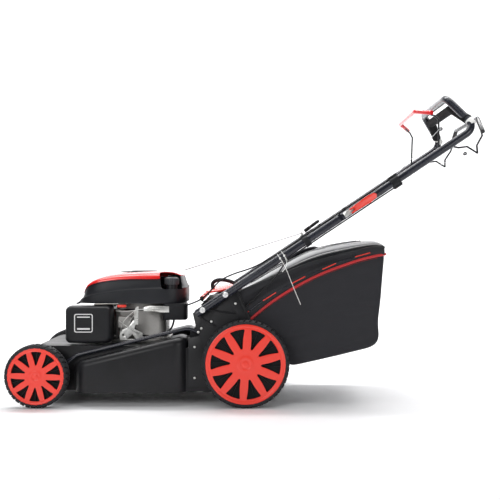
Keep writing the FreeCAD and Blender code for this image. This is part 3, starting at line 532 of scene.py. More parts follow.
def dress(piece: bpy.types.Object, finish: Finish, body: str, slot: str, *nodes: str,
          angle: float = 40.0) -> bpy.types.Object:
    """Gives a finished piece its material, shading and body.

    Args:
        piece: the piece.
        finish: its surface.
        body: the CAD body that it rides on.
        slot: the record's material slot; not used.
        nodes: CAD nodes that it stands for.
        angle: edges sharper than this many degrees stay sharp.

    Returns:
        The same piece.
    """
    paint(piece, finish, angle)
    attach(piece, body)
    if nodes:
        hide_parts(*nodes)
    LOG.info("made %s on %s", piece.name, body)
    return piece


def paint(piece: bpy.types.Object, finish: Finish, angle: float = 40.0) -> None:
    """Sets a piece's material and smooth shading."""
    piece.data.materials.clear()
    piece.data.materials.append(finish.material())
    if piece.type == "MESH":
        for face in piece.data.polygons:
            face.use_smooth = True
            face.material_index = 0
        piece.data.set_sharp_from_angle(angle=math.radians(angle))


def joined(name: str, pieces: list[bpy.types.Object]) -> bpy.types.Object:
    """Joins mesh objects into one new object.

    Args:
        name: the new object's name.
        pieces: the objects, which are removed.

    Returns:
        The joined object.
    """
    work = bmesh.new()
    for piece in pieces:
        work.from_mesh(piece.data)
    mesh = bpy.data.meshes.new(name)
    work.to_mesh(mesh)
    work.free()
    for piece in pieces:
        bpy.data.objects.remove(piece)
    made = bpy.data.objects.new(name, mesh)
    bpy.context.scene.collection.objects.link(made)
    return made


def node_copy(node: str, name: str) -> bpy.types.Object:
    """A merged copy of a CAD node's mesh, with its flat faces made whole."""
    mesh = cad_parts[node].data.copy()
    made = bpy.data.objects.new(name, mesh)
    bpy.context.scene.collection.objects.link(made)
    if mesh.has_custom_normals:
        with bpy.context.temp_override(object=made, active_object=made, selected_objects=[made]):
            bpy.ops.mesh.customdata_custom_splitnormals_clear()
    work = bmesh.new()
    work.from_mesh(mesh)
    bmesh.ops.remove_doubles(work, verts=work.verts, dist=NODE_MERGE)
    bmesh.ops.dissolve_limit(work, angle_limit=math.radians(0.5), verts=work.verts, edges=work.edges)
    work.to_mesh(mesh)
    work.free()
    return made


def soften(node: str, name: str, finish: Finish, body: str, slot: str, width: float,
           segments: int = 2) -> bpy.types.Object:
    """A CAD node's shape with its sharp edges rounded.

    Args:
        node: the CAD node.
        name: the new piece's name.
        finish: its surface.
        body: the body it rides on.
        slot: the record's slot; not used.
        width: the rounding, in millimetres.
        segments: steps round each edge.

    Returns:
        The piece.
    """
    return dress(bevel(node_copy(node, name), width, segments), finish, body, slot, node)


def lathe(name: str, profile: list[Pair], x: float, z: float, steps: int = 96,
          closed: bool = True) -> bpy.types.Object:
    """Turns a profile round an axis along Y.

    Args:
        name: the object's name.
        profile: radius and Y of each point, in millimetres.
        x: the axis's X.
        z: the axis's Z.
        steps: how many columns go round.
        closed: whether the profile's last point joins its first.

    Returns:
        The object.
    """
    points: list[Triple] = []
    faces: list[tuple[int, ...]] = []
    count = len(profile)
    for k in range(steps):
        a = 2 * math.pi * k / steps
        for r, y in profile:
            points.append((x + r * math.cos(a), y, z + r * math.sin(a)))
    for k in range(steps):
        for i in range(count if closed else count - 1):
            j = (i + 1) % count
            n = (k + 1) % steps
            faces.append((k * count + i, k * count + j, n * count + j, n * count + i))
    return raw_mesh(name, points, faces)


def loft(name: str, rings: list[list[Triple]], wrap: bool = True, caps: bool = False) -> bpy.types.Object:
    """Joins rings of points with quads.

    Args:
        name: the object's name.
        rings: each a list of the same number of points.
        wrap: whether each ring's last point joins its first.
        caps: whether the first and last rings are closed with a face.

    Returns:
        The object.
    """
    count = len(rings[0])
    points = [p for ring in rings for p in ring]
    faces: list[tuple[int, ...]] = []
    for i in range(len(rings) - 1):
        for k in range(count if wrap else count - 1):
            n = (k + 1) % count
            faces.append((i * count + k, i * count + n, (i + 1) * count + n, (i + 1) * count + k))
    if caps:
        faces.append(tuple(range(count)))
        faces.append(tuple(range((len(rings) - 1) * count, len(rings) * count)))
    return raw_mesh(name, points, faces)


def round_line(name: str, points: list[Triple], radius: float, steps: int = 6) -> bpy.types.Object:
    """A smooth NURBS line with a round section, its points in millimetres."""
    curve = bpy.data.curves.new(name, "CURVE")
    curve.dimensions = "3D"
    curve.resolution_u = 12
    curve.bevel_depth = radius * MM
    curve.bevel_resolution = steps
    curve.use_fill_caps = True
    spline = curve.splines.new("NURBS")
    spline.points.add(len(points) - 1)
    for place, p in zip(spline.points, points):
        place.co = (p[0] * MM, p[1] * MM, p[2] * MM, 1)
    spline.order_u = 3
    spline.use_endpoint_u = True
    made = bpy.data.objects.new(name, curve)
    bpy.context.scene.collection.objects.link(made)
    return made


def bent_bar(name: str, points: list[Triple], bends: list[float], radius: float,
             sides: int = 20) -> bpy.types.Object:
    """A round bar of straight runs and true bends.

    Args:
        name: the object's name.
        points: the corners of its middle line, in millimetres.
        bends: the bend radius at each inner corner.
        radius: the bar's radius.
        sides: facets round the bar.

    Returns:
        The bar, with closed ends.
    """
    line: list[Vector] = [Vector(points[0])]
    for i, bend in enumerate(bends):
        corner = Vector(points[i + 1])
        before = (Vector(points[i]) - corner).normalized()
        after = (Vector(points[i + 2]) - corner).normalized()
        half = before.angle(after) / 2
        reach = bend / math.tan(half)
        centre = corner + (before + after).normalized() * (bend / math.sin(half))
        first = corner + before * reach - centre
        last = corner + after * reach - centre
        steps = max(4, int(math.degrees(math.pi - 2 * half) / 7))
        for k in range(steps + 1):
            line.append(centre + first.slerp(last, k / steps))
    line.append(Vector(points[-1]))
    tidy: list[Vector] = [line[0]]
    for p in line[1:]:
        if (p - tidy[-1]).length > 0.05:
            tidy.append(p)
    across = (tidy[1] - tidy[0]).orthogonal().normalized()
    rings: list[list[Triple]] = []
    for i, p in enumerate(tidy):
        ahead = (tidy[min(i + 1, len(tidy) - 1)] - tidy[max(i - 1, 0)]).normalized()
        across = (across - ahead * across.dot(ahead)).normalized()
        other = ahead.cross(across)
        rings.append([tuple(p + (across * math.cos(a) + other * math.sin(a)) * radius)
                      for a in (2 * math.pi * k / sides for k in range(sides))])
    return loft(name, rings, caps=True)


def rounded_box(name: str, low: Triple, high: Triple, radius: float, segments: int = 3) -> bpy.types.Object:
    """A box between two corners, with every edge rounded."""
    xs, ys, zs = zip(low, high)
    points = [(x, y, z) for x in xs for y in ys for z in zs]
    return bevel(raw_mesh(name, points, BOX_FACES), radius, segments)


def between(points: list[Pair], x: float) -> float:
    """Reads a smooth curve through points, held level past its ends.

    Args:
        points: the curve's points, in rising order of their first number.
        x: where to read it.

    Returns:
        The curve's value.
    """
    if x <= points[0][0]:
        return points[0][1]
    if x >= points[-1][0]:
        return points[-1][1]
    i = max(k for k in range(len(points) - 1) if points[k][0] <= x)
    (x0, z0), (x1, z1) = points[i], points[i + 1]
    before = points[max(i - 1, 0)]
    after = points[min(i + 2, len(points) - 1)]
    slope0 = (z1 - before[1]) / (x1 - before[0])
    slope1 = (after[1] - z0) / (after[0] - x0)
    t = (x - x0) / (x1 - x0)
    run = x1 - x0
    return ((2 * t**3 - 3 * t**2 + 1) * z0 + (t**3 - 2 * t**2 + t) * run * slope0
            + (-2 * t**3 + 3 * t**2) * z1 + (t**3 - t**2) * run * slope1)


# ------------------------------------------------------------------ repeating pieces
def socket_id(tree: bpy.types.NodeTree, name: str) -> str:
    """The identifier of a tree's named input."""
    return next(s.identifier for s in tree.interface.items_tree
                if getattr(s, "in_out", "") == "INPUT" and s.name == name)


def coat_copies(bench: NodeBench, copies: bpy.types.NodeSocket, start: bpy.types.Node,
                end: bpy.types.Node) -> None:
    """Makes a tree's copies real, gives them their material and sends them out.

    Args:
        bench: the tree's bench.
        copies: the output that holds the copies.
        start: the tree's input node.
        end: the tree's output node.
    """
    real = bench.add("GeometryNodeRealizeInstances")
    bench.join(copies, real.inputs["Geometry"])
    coat = bench.add("GeometryNodeSetMaterial")
    bench.join(real.outputs["Geometry"], coat.inputs["Geometry"])
    bench.join(start.outputs["Finish"], coat.inputs["Material"])
    bench.join(coat.outputs["Geometry"], end.inputs["Geometry"])


def ring_tree() -> bpy.types.NodeTree:
    """Copies one piece evenly round an axis along Y.

    Returns:
        A tree with the inputs Piece, Count, Start, Centre and Finish.
    """
    name = "ring_of_pieces"
    if name in bpy.data.node_groups:
        return bpy.data.node_groups[name]
    tree = bpy.data.node_groups.new(name, "GeometryNodeTree")
    for key, kind in (("Piece", "NodeSocketObject"), ("Count", "NodeSocketInt"),
                      ("Start", "NodeSocketFloat"), ("Centre", "NodeSocketVector"),
                      ("Finish", "NodeSocketMaterial")):
        tree.interface.new_socket(key, in_out="INPUT", socket_type=kind)
    tree.interface.new_socket("Geometry", in_out="OUTPUT", socket_type="NodeSocketGeometry")
    bench = NodeBench(tree)
    start = bench.add("NodeGroupInput")
    end = bench.add("NodeGroupOutput")
    seats = bench.add("GeometryNodeMeshLine")
    seats.inputs["Offset"].default_value = (0, 0, 0)
    bench.join(start.outputs["Count"], seats.inputs["Count"])
    number = bench.add("GeometryNodeInputIndex")
    turn = bench.maths("DIVIDE", bench.maths("MULTIPLY", number.outputs[0], 2 * math.pi),
                       start.outputs["Count"])
    turn = bench.maths("ADD", turn, start.outputs["Start"])
    angles = bench.add("ShaderNodeCombineXYZ")
    bench.join(turn, angles.inputs["Y"])
    piece = bench.add("GeometryNodeObjectInfo")
    bench.join(start.outputs["Piece"], piece.inputs["Object"])
    copies = bench.add("GeometryNodeInstanceOnPoints")
    bench.join(seats.outputs["Mesh"], copies.inputs["Points"])
    bench.join(piece.outputs["Geometry"], copies.inputs["Instance"])
    bench.join(angles.outputs[0], copies.inputs["Rotation"])
    move = bench.add("GeometryNodeTransform")
    bench.join(copies.outputs["Instances"], move.inputs["Geometry"])
    bench.join(start.outputs["Centre"], move.inputs["Translation"])
    coat_copies(bench, move.outputs["Geometry"], start, end)
    return tree


def row_tree() -> bpy.types.NodeTree:
    """Copies one piece along a line, its X axis turned along it.

    Returns:
        A tree with the inputs Piece, Line, Spacing and Finish.
    """
    name = "row_of_pieces"
    if name in bpy.data.node_groups:
        return bpy.data.node_groups[name]
    tree = bpy.data.node_groups.new(name, "GeometryNodeTree")
    for key, kind in (("Piece", "NodeSocketObject"), ("Line", "NodeSocketObject"),
                      ("Spacing", "NodeSocketFloat"), ("Finish", "NodeSocketMaterial")):
        tree.interface.new_socket(key, in_out="INPUT", socket_type=kind)
    tree.interface.new_socket("Geometry", in_out="OUTPUT", socket_type="NodeSocketGeometry")
    bench = NodeBench(tree)
    start = bench.add("NodeGroupInput")
    end = bench.add("NodeGroupOutput")
    line = bench.add("GeometryNodeObjectInfo")
    bench.join(start.outputs["Line"], line.inputs["Object"])
    seats = bench.add("GeometryNodeCurveToPoints", mode="LENGTH")
    bench.join(line.outputs["Geometry"], seats.inputs["Curve"])
    bench.join(start.outputs["Spacing"], seats.inputs["Length"])
    face = bench.add("FunctionNodeAlignRotationToVector", axis="X")
    bench.join(seats.outputs["Tangent"], face.inputs["Vector"])
    piece = bench.add("GeometryNodeObjectInfo")
    bench.join(start.outputs["Piece"], piece.inputs["Object"])
    copies = bench.add("GeometryNodeInstanceOnPoints")
    bench.join(seats.outputs["Points"], copies.inputs["Points"])
    bench.join(piece.outputs["Geometry"], copies.inputs["Instance"])
    bench.join(face.outputs[0], copies.inputs["Rotation"])
    coat_copies(bench, copies.outputs["Instances"], start, end)
    return tree


def grown(name: str, tree: bpy.types.NodeTree, values: dict[str, object]) -> bpy.types.Object:
    """Runs a tree on an empty object and keeps its result as a plain mesh.

    Args:
        name: the new object's name.
        tree: the tree.
        values: input name to value.

    Returns:
        The mesh object.
    """
    made = bpy.data.objects.new(name, bpy.data.meshes.new(name))
    bpy.context.scene.collection.objects.link(made)
    step = made.modifiers.new("repeat", "NODES")
    step.node_group = tree
    for key, value in values.items():
        step[socket_id(tree, key)] = value
    return bake(made)


def ring_of(name: str, piece: bpy.types.Object, count: int, start_deg: float, centre: Triple,
            finish: Finish) -> bpy.types.Object:
    """Repeats a piece round a Y axis and removes the first one."""
    made = grown(name, ring_tree(), {"Piece": piece, "Count": count, "Start": math.radians(start_deg),
                                     "Centre": tuple(c * MM for c in centre), "Finish": finish.material()})
    bpy.data.objects.remove(piece)
    return made


def row_of(name: str, piece: bpy.types.Object, line: bpy.types.Object, spacing: float,
           finish: Finish) -> bpy.types.Object:
    """Repeats a piece along a line and removes the first one and the line."""
    line.data.bevel_depth = 0
    made = grown(name, row_tree(), {"Piece": piece, "Line": line, "Spacing": spacing * MM,
                                    "Finish": finish.material()})
    bpy.data.objects.remove(piece)
    bpy.data.objects.remove(line)
    return made


# ------------------------------------------------------------------ wheels
@dataclass
class Wheel:
    """One wheel: tyre with tread blocks, black rim and red spoked cover. Sizes in millimetres."""

    name: str
    x: float
    radius: float
    cover_radius: float
    first_window: float
    lugs: int
    side: int
    inside: float = 239.0
    outside: float = 285.0
    tread: float = 4.0
    spokes: int = 10

    def across(self, y: float) -> float:
        """Puts a distance from the mower's middle on this wheel's side."""
        return y * self.side

    def tyre(self) -> bpy.types.Object:
        """Makes the carcass and its tread blocks.

        Returns:
            The tyre.
        """
        r, c, base = self.radius, self.cover_radius, self.radius - self.tread
        profile = [(c + 0.8, 283.2), (c + 2.2, 284.6), (c + 5.0, 285.0), (r - 10, 284.4),
                   (r - 6.4, 282.6), (base - 0.4, 279.0), (base, 274.0), (base, 262.0), (base, 250.0),
                   (base - 0.4, 245.0), (r - 6.4, 241.4), (r - 10, 239.6), (c + 4, 239.0),
                   (c - 1.0, 239.6), (c - 1.0, 278.8), (c + 0.8, 279.2)]
        body = lathe(f"{self.name}_carcass", [(p, self.across(y)) for p, y in profile], self.x,
                     self.radius, 120)
        outer = self.lug([(r, 264.0), (r, 277.5), (r - 2.2, 281.6), (r - 7.0, 284.6), (r - 10.5, 285.2)],
                         0.0)
        inner = self.lug([(r, 260.0), (r, 247.0), (r - 2.2, 242.6), (r - 7.0, 239.8)], 0.5)
        centre = (self.x, 0.0, self.radius)
        rows = [ring_of(f"{self.name}_lugs_{k}", piece, self.lugs, 3.0, centre, TYRE_RUBBER)
                for k, piece in enumerate((outer, inner))]
        made = joined(f"{self.name}_tyre_rubber", [body, *rows])
        return dress(made, TYRE_RUBBER, self.name, "tyre", f"{self.node()}_tyre", angle=32)

    def node(self) -> str:
        """The start of this wheel's CAD node names."""
        return self.name.removesuffix("_wheel")

    def lug(self, line: list[Pair], shift: float) -> bpy.types.Object:
        """One slanted tread block at the top of a wheel centred on the origin.

        Args:
            line: radius and Y along the block's outer face.
            shift: how far round it sits, as a share of the pitch.

        Returns:
            The block.
        """
        pitch = 2 * math.pi / self.lugs
        rings: list[list[Triple]] = []
        for i, (r, y) in enumerate(line):
            slant = 0.34 * pitch * (abs(y - TYRE_MIDDLE) / 20.0)
            ring = []
            for edge, depth in ((-1, 0.0), (1, 0.0), (1, self.tread + 1.5), (-1, self.tread + 1.5)):
                width = 0.35 * pitch if depth == 0.0 else 0.40 * pitch
                a = shift * pitch + slant + edge * width
                low = r - depth * (1.0 if i < 2 else 0.5)
                inset = depth * 0.4 if i > 2 else 0
                place = y - inset * (1 if y > TYRE_MIDDLE else -1)
                ring.append((low * math.sin(a), self.across(place), low * math.cos(a)))
            rings.append(ring)
        return loft("lug", rings, caps=True)

    def window_radii(self) -> Pair:
        """The radii at which the cover's windows start and end."""
        return 0.385 * self.cover_radius, 0.875 * self.cover_radius

    def half_window(self, r: float) -> float:
        """The angle from a window's middle to its side, in degrees, at a radius."""
        near, far = self.window_radii()
        t = min(1.0, max(0.0, (r - near) / (far - near)))
        half = 3.4 + 9.4 * t**0.85
        corner = 4.0
        width = math.radians(half) * r
        if r - near < corner:
            width *= math.sqrt(max(0.004, 1 - ((corner - max(0.0, r - near)) / corner) ** 2))
        if far - r < corner:
            width -= corner * (1 - math.sqrt(max(0.0, 1 - ((corner - max(0.0, far - r)) / corner) ** 2)))
        return math.degrees(max(width, 0.3) / r)

    def relief(self, r: float) -> float:
        """How far the cover's face stands out at a radius."""
        c = self.cover_radius
        steps = [(0.0, 0.2), (0.06 * c, 0.2), (0.075 * c, -0.6), (0.12 * c, -0.6), (0.135 * c, 0.4),
                 (0.19 * c, 0.4), (0.21 * c, -0.3), (0.32 * c, 0.0), (0.60 * c, 0.1), (0.88 * c, 0.1),
                 (0.905 * c, -0.5), (0.925 * c, -0.5), (0.94 * c, 0.6), (0.985 * c, 0.6), (1.0 * c, -0.2)]
        return between(steps, r)

    def cover(self) -> bpy.types.Object:
        """Makes the red spoked cover.

        Returns:
            The cover.
        """
        c = self.cover_radius
        near, far = self.window_radii()
        radii = [0.02 * c, 0.055 * c, 0.065 * c, 0.08 * c, 0.12 * c, 0.13 * c, 0.145 * c, 0.185 * c,
                 0.2 * c, 0.22 * c, 0.28 * c, 0.34 * c]
        radii += [near, near + 0.5, near + 1.4, near + 2.6, near + 4.2]
        radii += [near + 4.2 + (far - near - 8.4) * k / 8 for k in range(1, 8)]
        radii += [far - 4.2, far - 2.6, far - 1.4, far - 0.5, far]
        radii += [0.89 * c, 0.905 * c, 0.925 * c, 0.938 * c, 0.955 * c, 0.98 * c, 1.0 * c]
        columns = 12
        window_columns = 6
        points: list[Triple] = []
        for r in radii:
            half = self.half_window(r) if near <= r <= far else 5.0
            for spoke in range(self.spokes):
                middle = self.first_window + 360 / self.spokes * spoke
                for k in range(columns):
                    if k <= window_columns:
                        turn = -half + 2 * half * k / window_columns
                    else:
                        turn = half + (360 / self.spokes - 2 * half) * (k - window_columns) / window_columns
                    a = math.radians(middle + turn)
                    points.append((self.x + r * math.cos(a), self.across(COVER_Y + self.relief(r)),
                                   self.radius + r * math.sin(a)))
        count = columns * self.spokes
        faces: list[tuple[int, ...]] = []
        for i in range(len(radii) - 1):
            open_row = near <= radii[i] and radii[i + 1] <= far
            for k in range(count):
                if open_row and k % columns < window_columns:
                    continue
                n = (k + 1) % count
                faces.append((i * count + k, i * count + n, (i + 1) * count + n, (i + 1) * count + k))
        faces.append(tuple(range(count)))
        made = raw_mesh(f"{self.name}_cover", points, faces)
        if made.data.polygons[-1].normal.y * self.side < 0:
            made.data.flip_normals()
        thicken(made, 4.2)
        bevel(made, 0.7, 2, 40)
        return dress(made, RED_PLASTIC, self.name, "red_plastic", f"{self.node()}_wheel", angle=45)

    def rim(self) -> bpy.types.Object:
        """Makes the black rim behind the cover, with ribs between the spokes.

        Returns:
            The rim.
        """
        r = self.cover_radius - 1.3
        gear = 60.0
        profile = [(6.1, 240.6), (14.0, 240.6), (14.0, 252.0), (gear, 252.0), (gear, 240.6),
                   (gear + 6, 240.6), (gear + 6, 262.5), (r - 6, 262.5), (r - 6, 240.6), (r, 240.6),
                   (r, 279.0), (r - 6, 279.0), (r - 8, 268.2), (24.0, 268.2), (22.0, 272.2), (6.1, 272.2)]
        body = lathe(f"{self.name}_rim_body", [(p, self.across(y)) for p, y in profile], self.x,
                     self.radius, 96)
        bevel(body, 0.8, 2, 40)
        rib = raw_mesh("rib", [(a, self.across(b), c) for a in (24.0, r - 7) for b in (267.5, 276.0)
                               for c in (-1.2, 1.2)], BOX_FACES)
        ribs = ring_of(f"{self.name}_ribs", rib, self.spokes, -self.first_window,
                       (self.x, 0.0, self.radius), RIM_PLASTIC)
        made = joined(f"{self.name}_rim", [body, ribs])
        return dress(made, RIM_PLASTIC, self.name, "black_plastic")

    def build(self) -> None:
        """Makes the whole wheel."""
        self.tyre()
        self.cover()
        self.rim()


# ------------------------------------------------------------------ engine
@dataclass
class Engine:
    """The covered engine and what is bolted to it. Sizes in millimetres."""

    rear: float = 209.0
    front: float = 573.0
    half: float = 150.0
    base: float = 325.0
    cap: Triple = (256.0, 118.0, 387.0)

    TOP = [(205.0, 380.0), (212.0, 402.0), (226.0, 419.0), (252.0, 428.5), (310.0, 430.0), (380.0, 427.5),
           (452.0, 422.0), (505.0, 410.5), (540.0, 395.0), (558.0, 376.0), (568.0, 350.0), (574.0, 327.0)]
    RED = [(205.0, 419.0), (225.0, 417.0), (287.0, 411.0), (300.0, 406.5), (400.0, 406.0), (459.0, 401.5),
           (509.0, 392.5), (541.0, 378.0), (556.0, 355.0), (568.0, 328.0)]
    RIDGE = [(209.0, 376.5), (286.0, 375.0), (340.0, 373.7), (399.0, 370.7), (452.0, 365.3),
             (507.0, 355.0), (545.0, 345.0), (572.0, 326.5)]

    def plan(self, turn: float, scale: float) -> Pair:
        """A point on the hood's plan.

        Args:
            turn: from 0 to 1 round the plan.
            scale: its size, where 1 is the hood's foot.

        Returns:
            X and Y in millimetres.
        """
        a = 2 * math.pi * turn
        c, s = math.cos(a), math.sin(a)
        power = 0.42
        middle = (self.rear + self.front) / 2
        x = middle + (self.front - self.rear) / 2 * scale * math.copysign(abs(c) ** power, c)
        y = self.half * scale * math.copysign(abs(s) ** power, s)
        return x, y

    def ring(self, scale: float, rise: float, count: int = 160) -> list[Triple]:
        """One closed ring of the hood.

        Args:
            scale: the plan's size.
            rise: 0 at the foot, 1 at the crease, 2 at the parting line, 3 at the top.
            count: points on the ring.

        Returns:
            The ring's points.
        """
        ring = []
        for k in range(count):
            x, y = self.plan(k / count, scale)
            top = between(self.TOP, x)
            red = min(between(self.RED, x), top - 2.0)
            ridge = min(between(self.RIDGE, x), red - 3.0)
            if rise <= 1:
                z = self.base + (max(ridge, self.base + 1) - self.base) * rise
            elif rise <= 2:
                z = ridge + (red - ridge) * (rise - 1)
            else:
                z = red + (top - red) * (rise - 2)
            ring.append((x, y, max(z, self.base + 0.5 * rise)))
        return ring

    def hood(self) -> None:
        """Makes the black blower housing and its red top."""
        lower = [self.ring(1.0 + 0.004 * math.sin(math.pi * t), t) for t in (0.0, 0.3, 0.6, 0.85, 0.95)]
        lower += [self.ring(1.006, 0.985), self.ring(1.004, 1.0), self.ring(0.988, 1.06),
                  self.ring(0.976, 1.16), self.ring(0.950, 1.45), self.ring(0.924, 1.8),
                  self.ring(0.912, 1.98)]
        housing = loft("blower_housing_wall", lower)
        thicken(housing, 3.0)
        housing = self.pocket(housing)
        bevel(housing, 0.6, 2, 45)
        dress(housing, HOOD_PLASTIC, "deck", "black_plastic", "engine_shroud", angle=50)
        upper = [self.ring(0.908, 1.98), self.ring(0.920, 1.99), self.ring(0.926, 2.02)]
        for k in range(1, 15):
            a = math.pi / 2 * k / 14
            upper.append(self.ring(0.926 * math.cos(a) ** 0.34 if k < 14 else 0.02, 2 + math.sin(a) ** 0.8))
        top = loft("hood_top_wall", upper)
        work = bmesh.new()
        work.from_mesh(top.data)
        rim = [e for e in work.edges if e.is_boundary and e.verts[0].co.z > 425.0 * MM]
        bmesh.ops.holes_fill(work, edges=rim, sides=0)
        work.to_mesh(top.data)
        work.free()
        top = thicken(self.pocket(top), 2.5)
        dress(top, RED_HOOD, "deck", "red_plastic", "shroud_cover", angle=50)
        self.intake()

    def pocket(self, piece: bpy.types.Object) -> bpy.types.Object:
        """Cuts the seat round the fuel cap out of a hood piece."""
        x, y, _ = self.cap
        rings = []
        for height, grow in ((372.0, 0.0), (380.0, 0.5), (450.0, 10.0)):
            ring = []
            for k in range(48):
                a = 2 * math.pi * k / 48
                reach = 34.0 + grow
                out = 60.0 if math.sin(a) > 0 and height > 375 else 0.0
                ring.append((x + reach * math.cos(a),
                             y + reach * math.sin(a) + out * max(0.0, math.sin(a)), height))
            rings.append(ring)
        cutter = loft("pocket_cutter", rings, caps=True)
        step = piece.modifiers.new("pocket", "BOOLEAN")
        step.operation = "DIFFERENCE"
        step.solver = "EXACT"
        step.use_self = True
        step.object = cutter
        bake(piece)
        bpy.data.objects.remove(cutter)
        return piece

    def intake(self) -> None:
        """Makes the air slots and starter cup on the hood's top."""
        cup = lathe("recoil_cup",
                    [(0.5, 0.0), (44.0, 0.0), (47.0, -2.0), (50.0, -8.0), (50.0, -14.0), (0.5, -14.0)],
                    0.0, 0.0, 64)
        turn = Matrix.Rotation(math.pi / 2, 4, "X")
        cup.data.transform(Matrix.Translation((CRANK_X * MM, 0, HOOD_TOP * MM)) @ turn)
        tidy_mesh(cup)
        bevel(cup, 0.8, 2)
        dress(cup, HOOD_PLASTIC, "deck", "black_plastic")
        slot = rounded_box("air_slot", (62.0, -1.0, -2.4), (84.0, 1.0, 2.4), 1.0, 2)
        slots = ring_of("air_slots", slot, 28, 0.0, (0.0, 0.0, 0.0), HOOD_PLASTIC)
        slots.data.transform(Matrix.Translation((CRANK_X * MM, 0, (HOOD_TOP - 4.0) * MM)) @ turn)
        dress(slots, HOOD_PLASTIC, "deck", "black_plastic")

    def fuel_cap(self) -> None:
        """Makes the ribbed fuel cap."""
        profile = [(0.5, 0.0), (17.0, 0.0), (20.5, -1.2), (22.8, -4.0), (23.2, -8.0), (23.6, -23.0),
                   (19.6, -23.4), (19.6, -4.0), (0.5, -3.5)]
        cap = lathe("fuel_cap_disc", profile, 0.0, 0.0, 72)
        rib = rounded_box("cap_rib", (22.2, -21.5, -1.2), (24.6, -3.0, 1.2), 0.6, 2)
        ribs = ring_of("fuel_cap_ribs", rib, 24, 0.0, (0.0, 0.0, 0.0), LIT_CAP_PLASTIC)
        bar = rounded_box("cap_bar", (-15.0, -1.0, -3.0), (15.0, 1.6, 3.0), 1.0, 2)
        made = joined("fuel_cap_ribbed", [cap, ribs, bar])
        x, y, _ = self.cap
        turn = Matrix.Rotation(math.pi / 2, 4, "X")
        made.data.transform(Matrix.Translation((x * MM, y * MM, CAP_TOP * MM)) @ turn)
        tidy_mesh(made)
        # The cap's lighter grey finish is painted light on its top.
        dress(made, LIT_CAP_PLASTIC, "fuel_cap", "black_plastic", "fuel_cap")

    def air_filter(self) -> None:
        """Makes the air filter's box, its cover's border and plain label."""
        base = rounded_box("air_box_back", (453, 96, 199), (599, 129, 316), 8, 3)
        rings = []
        for y, grow, radius in ((129.2, 0.0, 14.0), (160.0, 0.0, 15.0), (176.0, -0.6, 16.0),
                                (184.0, -2.6, 16.0), (188.0, -6.0, 16.0), (189.6, -11.0, 14.0),
                                (188.8, -13.5, 13.0)):
            rings.append(self.rounded_ring(451 - grow, 601 + grow, 196 - grow, 318 + grow, radius, y))
        lid = loft("air_box_lid", rings, caps=True)
        bevel(lid, 0.5, 2, 50)
        made = joined("air_box", [base, lid])
        dress(made, BLACK_PLASTIC, "deck", "black_plastic", "air_filter", angle=35)
        outer = self.rounded_ring(508.5, 569.5, 232.5, 293.5, 7.0, LABEL_Y)
        inner = self.rounded_ring(511.5, 566.5, 235.5, 290.5, 5.0, LABEL_Y)
        frame = loft("label_frame", [outer, inner])
        bars = []
        for z0, z1 in ((281.0, 284.5), (241.5, 247.0)):
            corners = [(518, LABEL_Y, z0), (560, LABEL_Y, z0), (560, LABEL_Y, z1), (518, LABEL_Y, z1)]
            bars.append(raw_mesh("bar", corners, [(0, 1, 2, 3)]))
        label = joined("plain_label", [frame, *bars])
        if label.data.polygons[0].normal.y < 0:
            label.data.flip_normals()
        thicken(label, 0.4, inward=False)
        dress(label, LABEL_FILM, "deck", "black_plastic")

    def rounded_ring(self, x0: float, x1: float, z0: float, z1: float, radius: float,
                     y: float) -> list[Triple]:
        """A rounded rectangle of points at one Y."""
        ring: list[Triple] = []
        for cx, cz, first in ((x1 - radius, z1 - radius, 0), (x0 + radius, z1 - radius, 90),
                              (x0 + radius, z0 + radius, 180), (x1 - radius, z0 + radius, 270)):
            for k in range(9):
                a = math.radians(first + 90 * k / 8)
                ring.append((cx + radius * math.cos(a), y, cz + radius * math.sin(a)))
        return ring

    def linkage(self) -> None:
        """Makes the governor's rods, spring and small red choke knob."""
        helix = [(396 - 0.30 * k, 146 + 4.0 * math.cos(k * 0.8), 262 + 0.42 * k + 4.0 * math.sin(k * 0.8))
                 for k in range(80)]
        spring = bake(round_line("governor_spring", helix, 0.7, 3))
        dress(spring, ZINC, "deck", "zinc")
        rods = [[(424, 140, 228), (424, 146, 250), (402, 146, 282), (372, 146, 304)],
                [(442, 136, 300), (410, 142, 297), (352, 150, 306), (300, 156, 309)],
                [(430, 148, 268), (404, 152, 250), (372, 148, 226), (340, 120, 216)]]
        lines = [bake(round_line(f"control_rod_{k}", rod, 1.3, 4)) for k, rod in enumerate(rods)]
        dress(joined("control_rods", lines), ZINC, "deck", "zinc")
        knob = rounded_box("choke_knob", (404, 140, 312), (434, 158, 321), 3.0, 3)
        dress(knob, RED_PLASTIC, "deck", "red_plastic")

    def build(self) -> None:
        """Makes the engine's visible pieces."""
        self.hood()
        self.fuel_cap()
        self.air_filter()
        self.linkage()
        soften("engine_block", "crankcase", CAST_ALLOY, "deck", "alloy", 1.5)
        soften("cylinder", "finned_cylinder", CAST_ALLOY, "deck", "alloy", 0.6)
        soften("fuel_tank", "petrol_tank", BLACK_PLASTIC, "deck", "black_plastic", 3.0, 3)
        soften("engine_brackets", "control_brackets", ZINC, "deck", "zinc", 0.8)
        soften("carburettor", "carburettor_body", CAST_ALLOY, "deck", "alloy", 1.5)
        soften("muffler", "silencer", EXHAUST, "deck", "steel", 1.2)


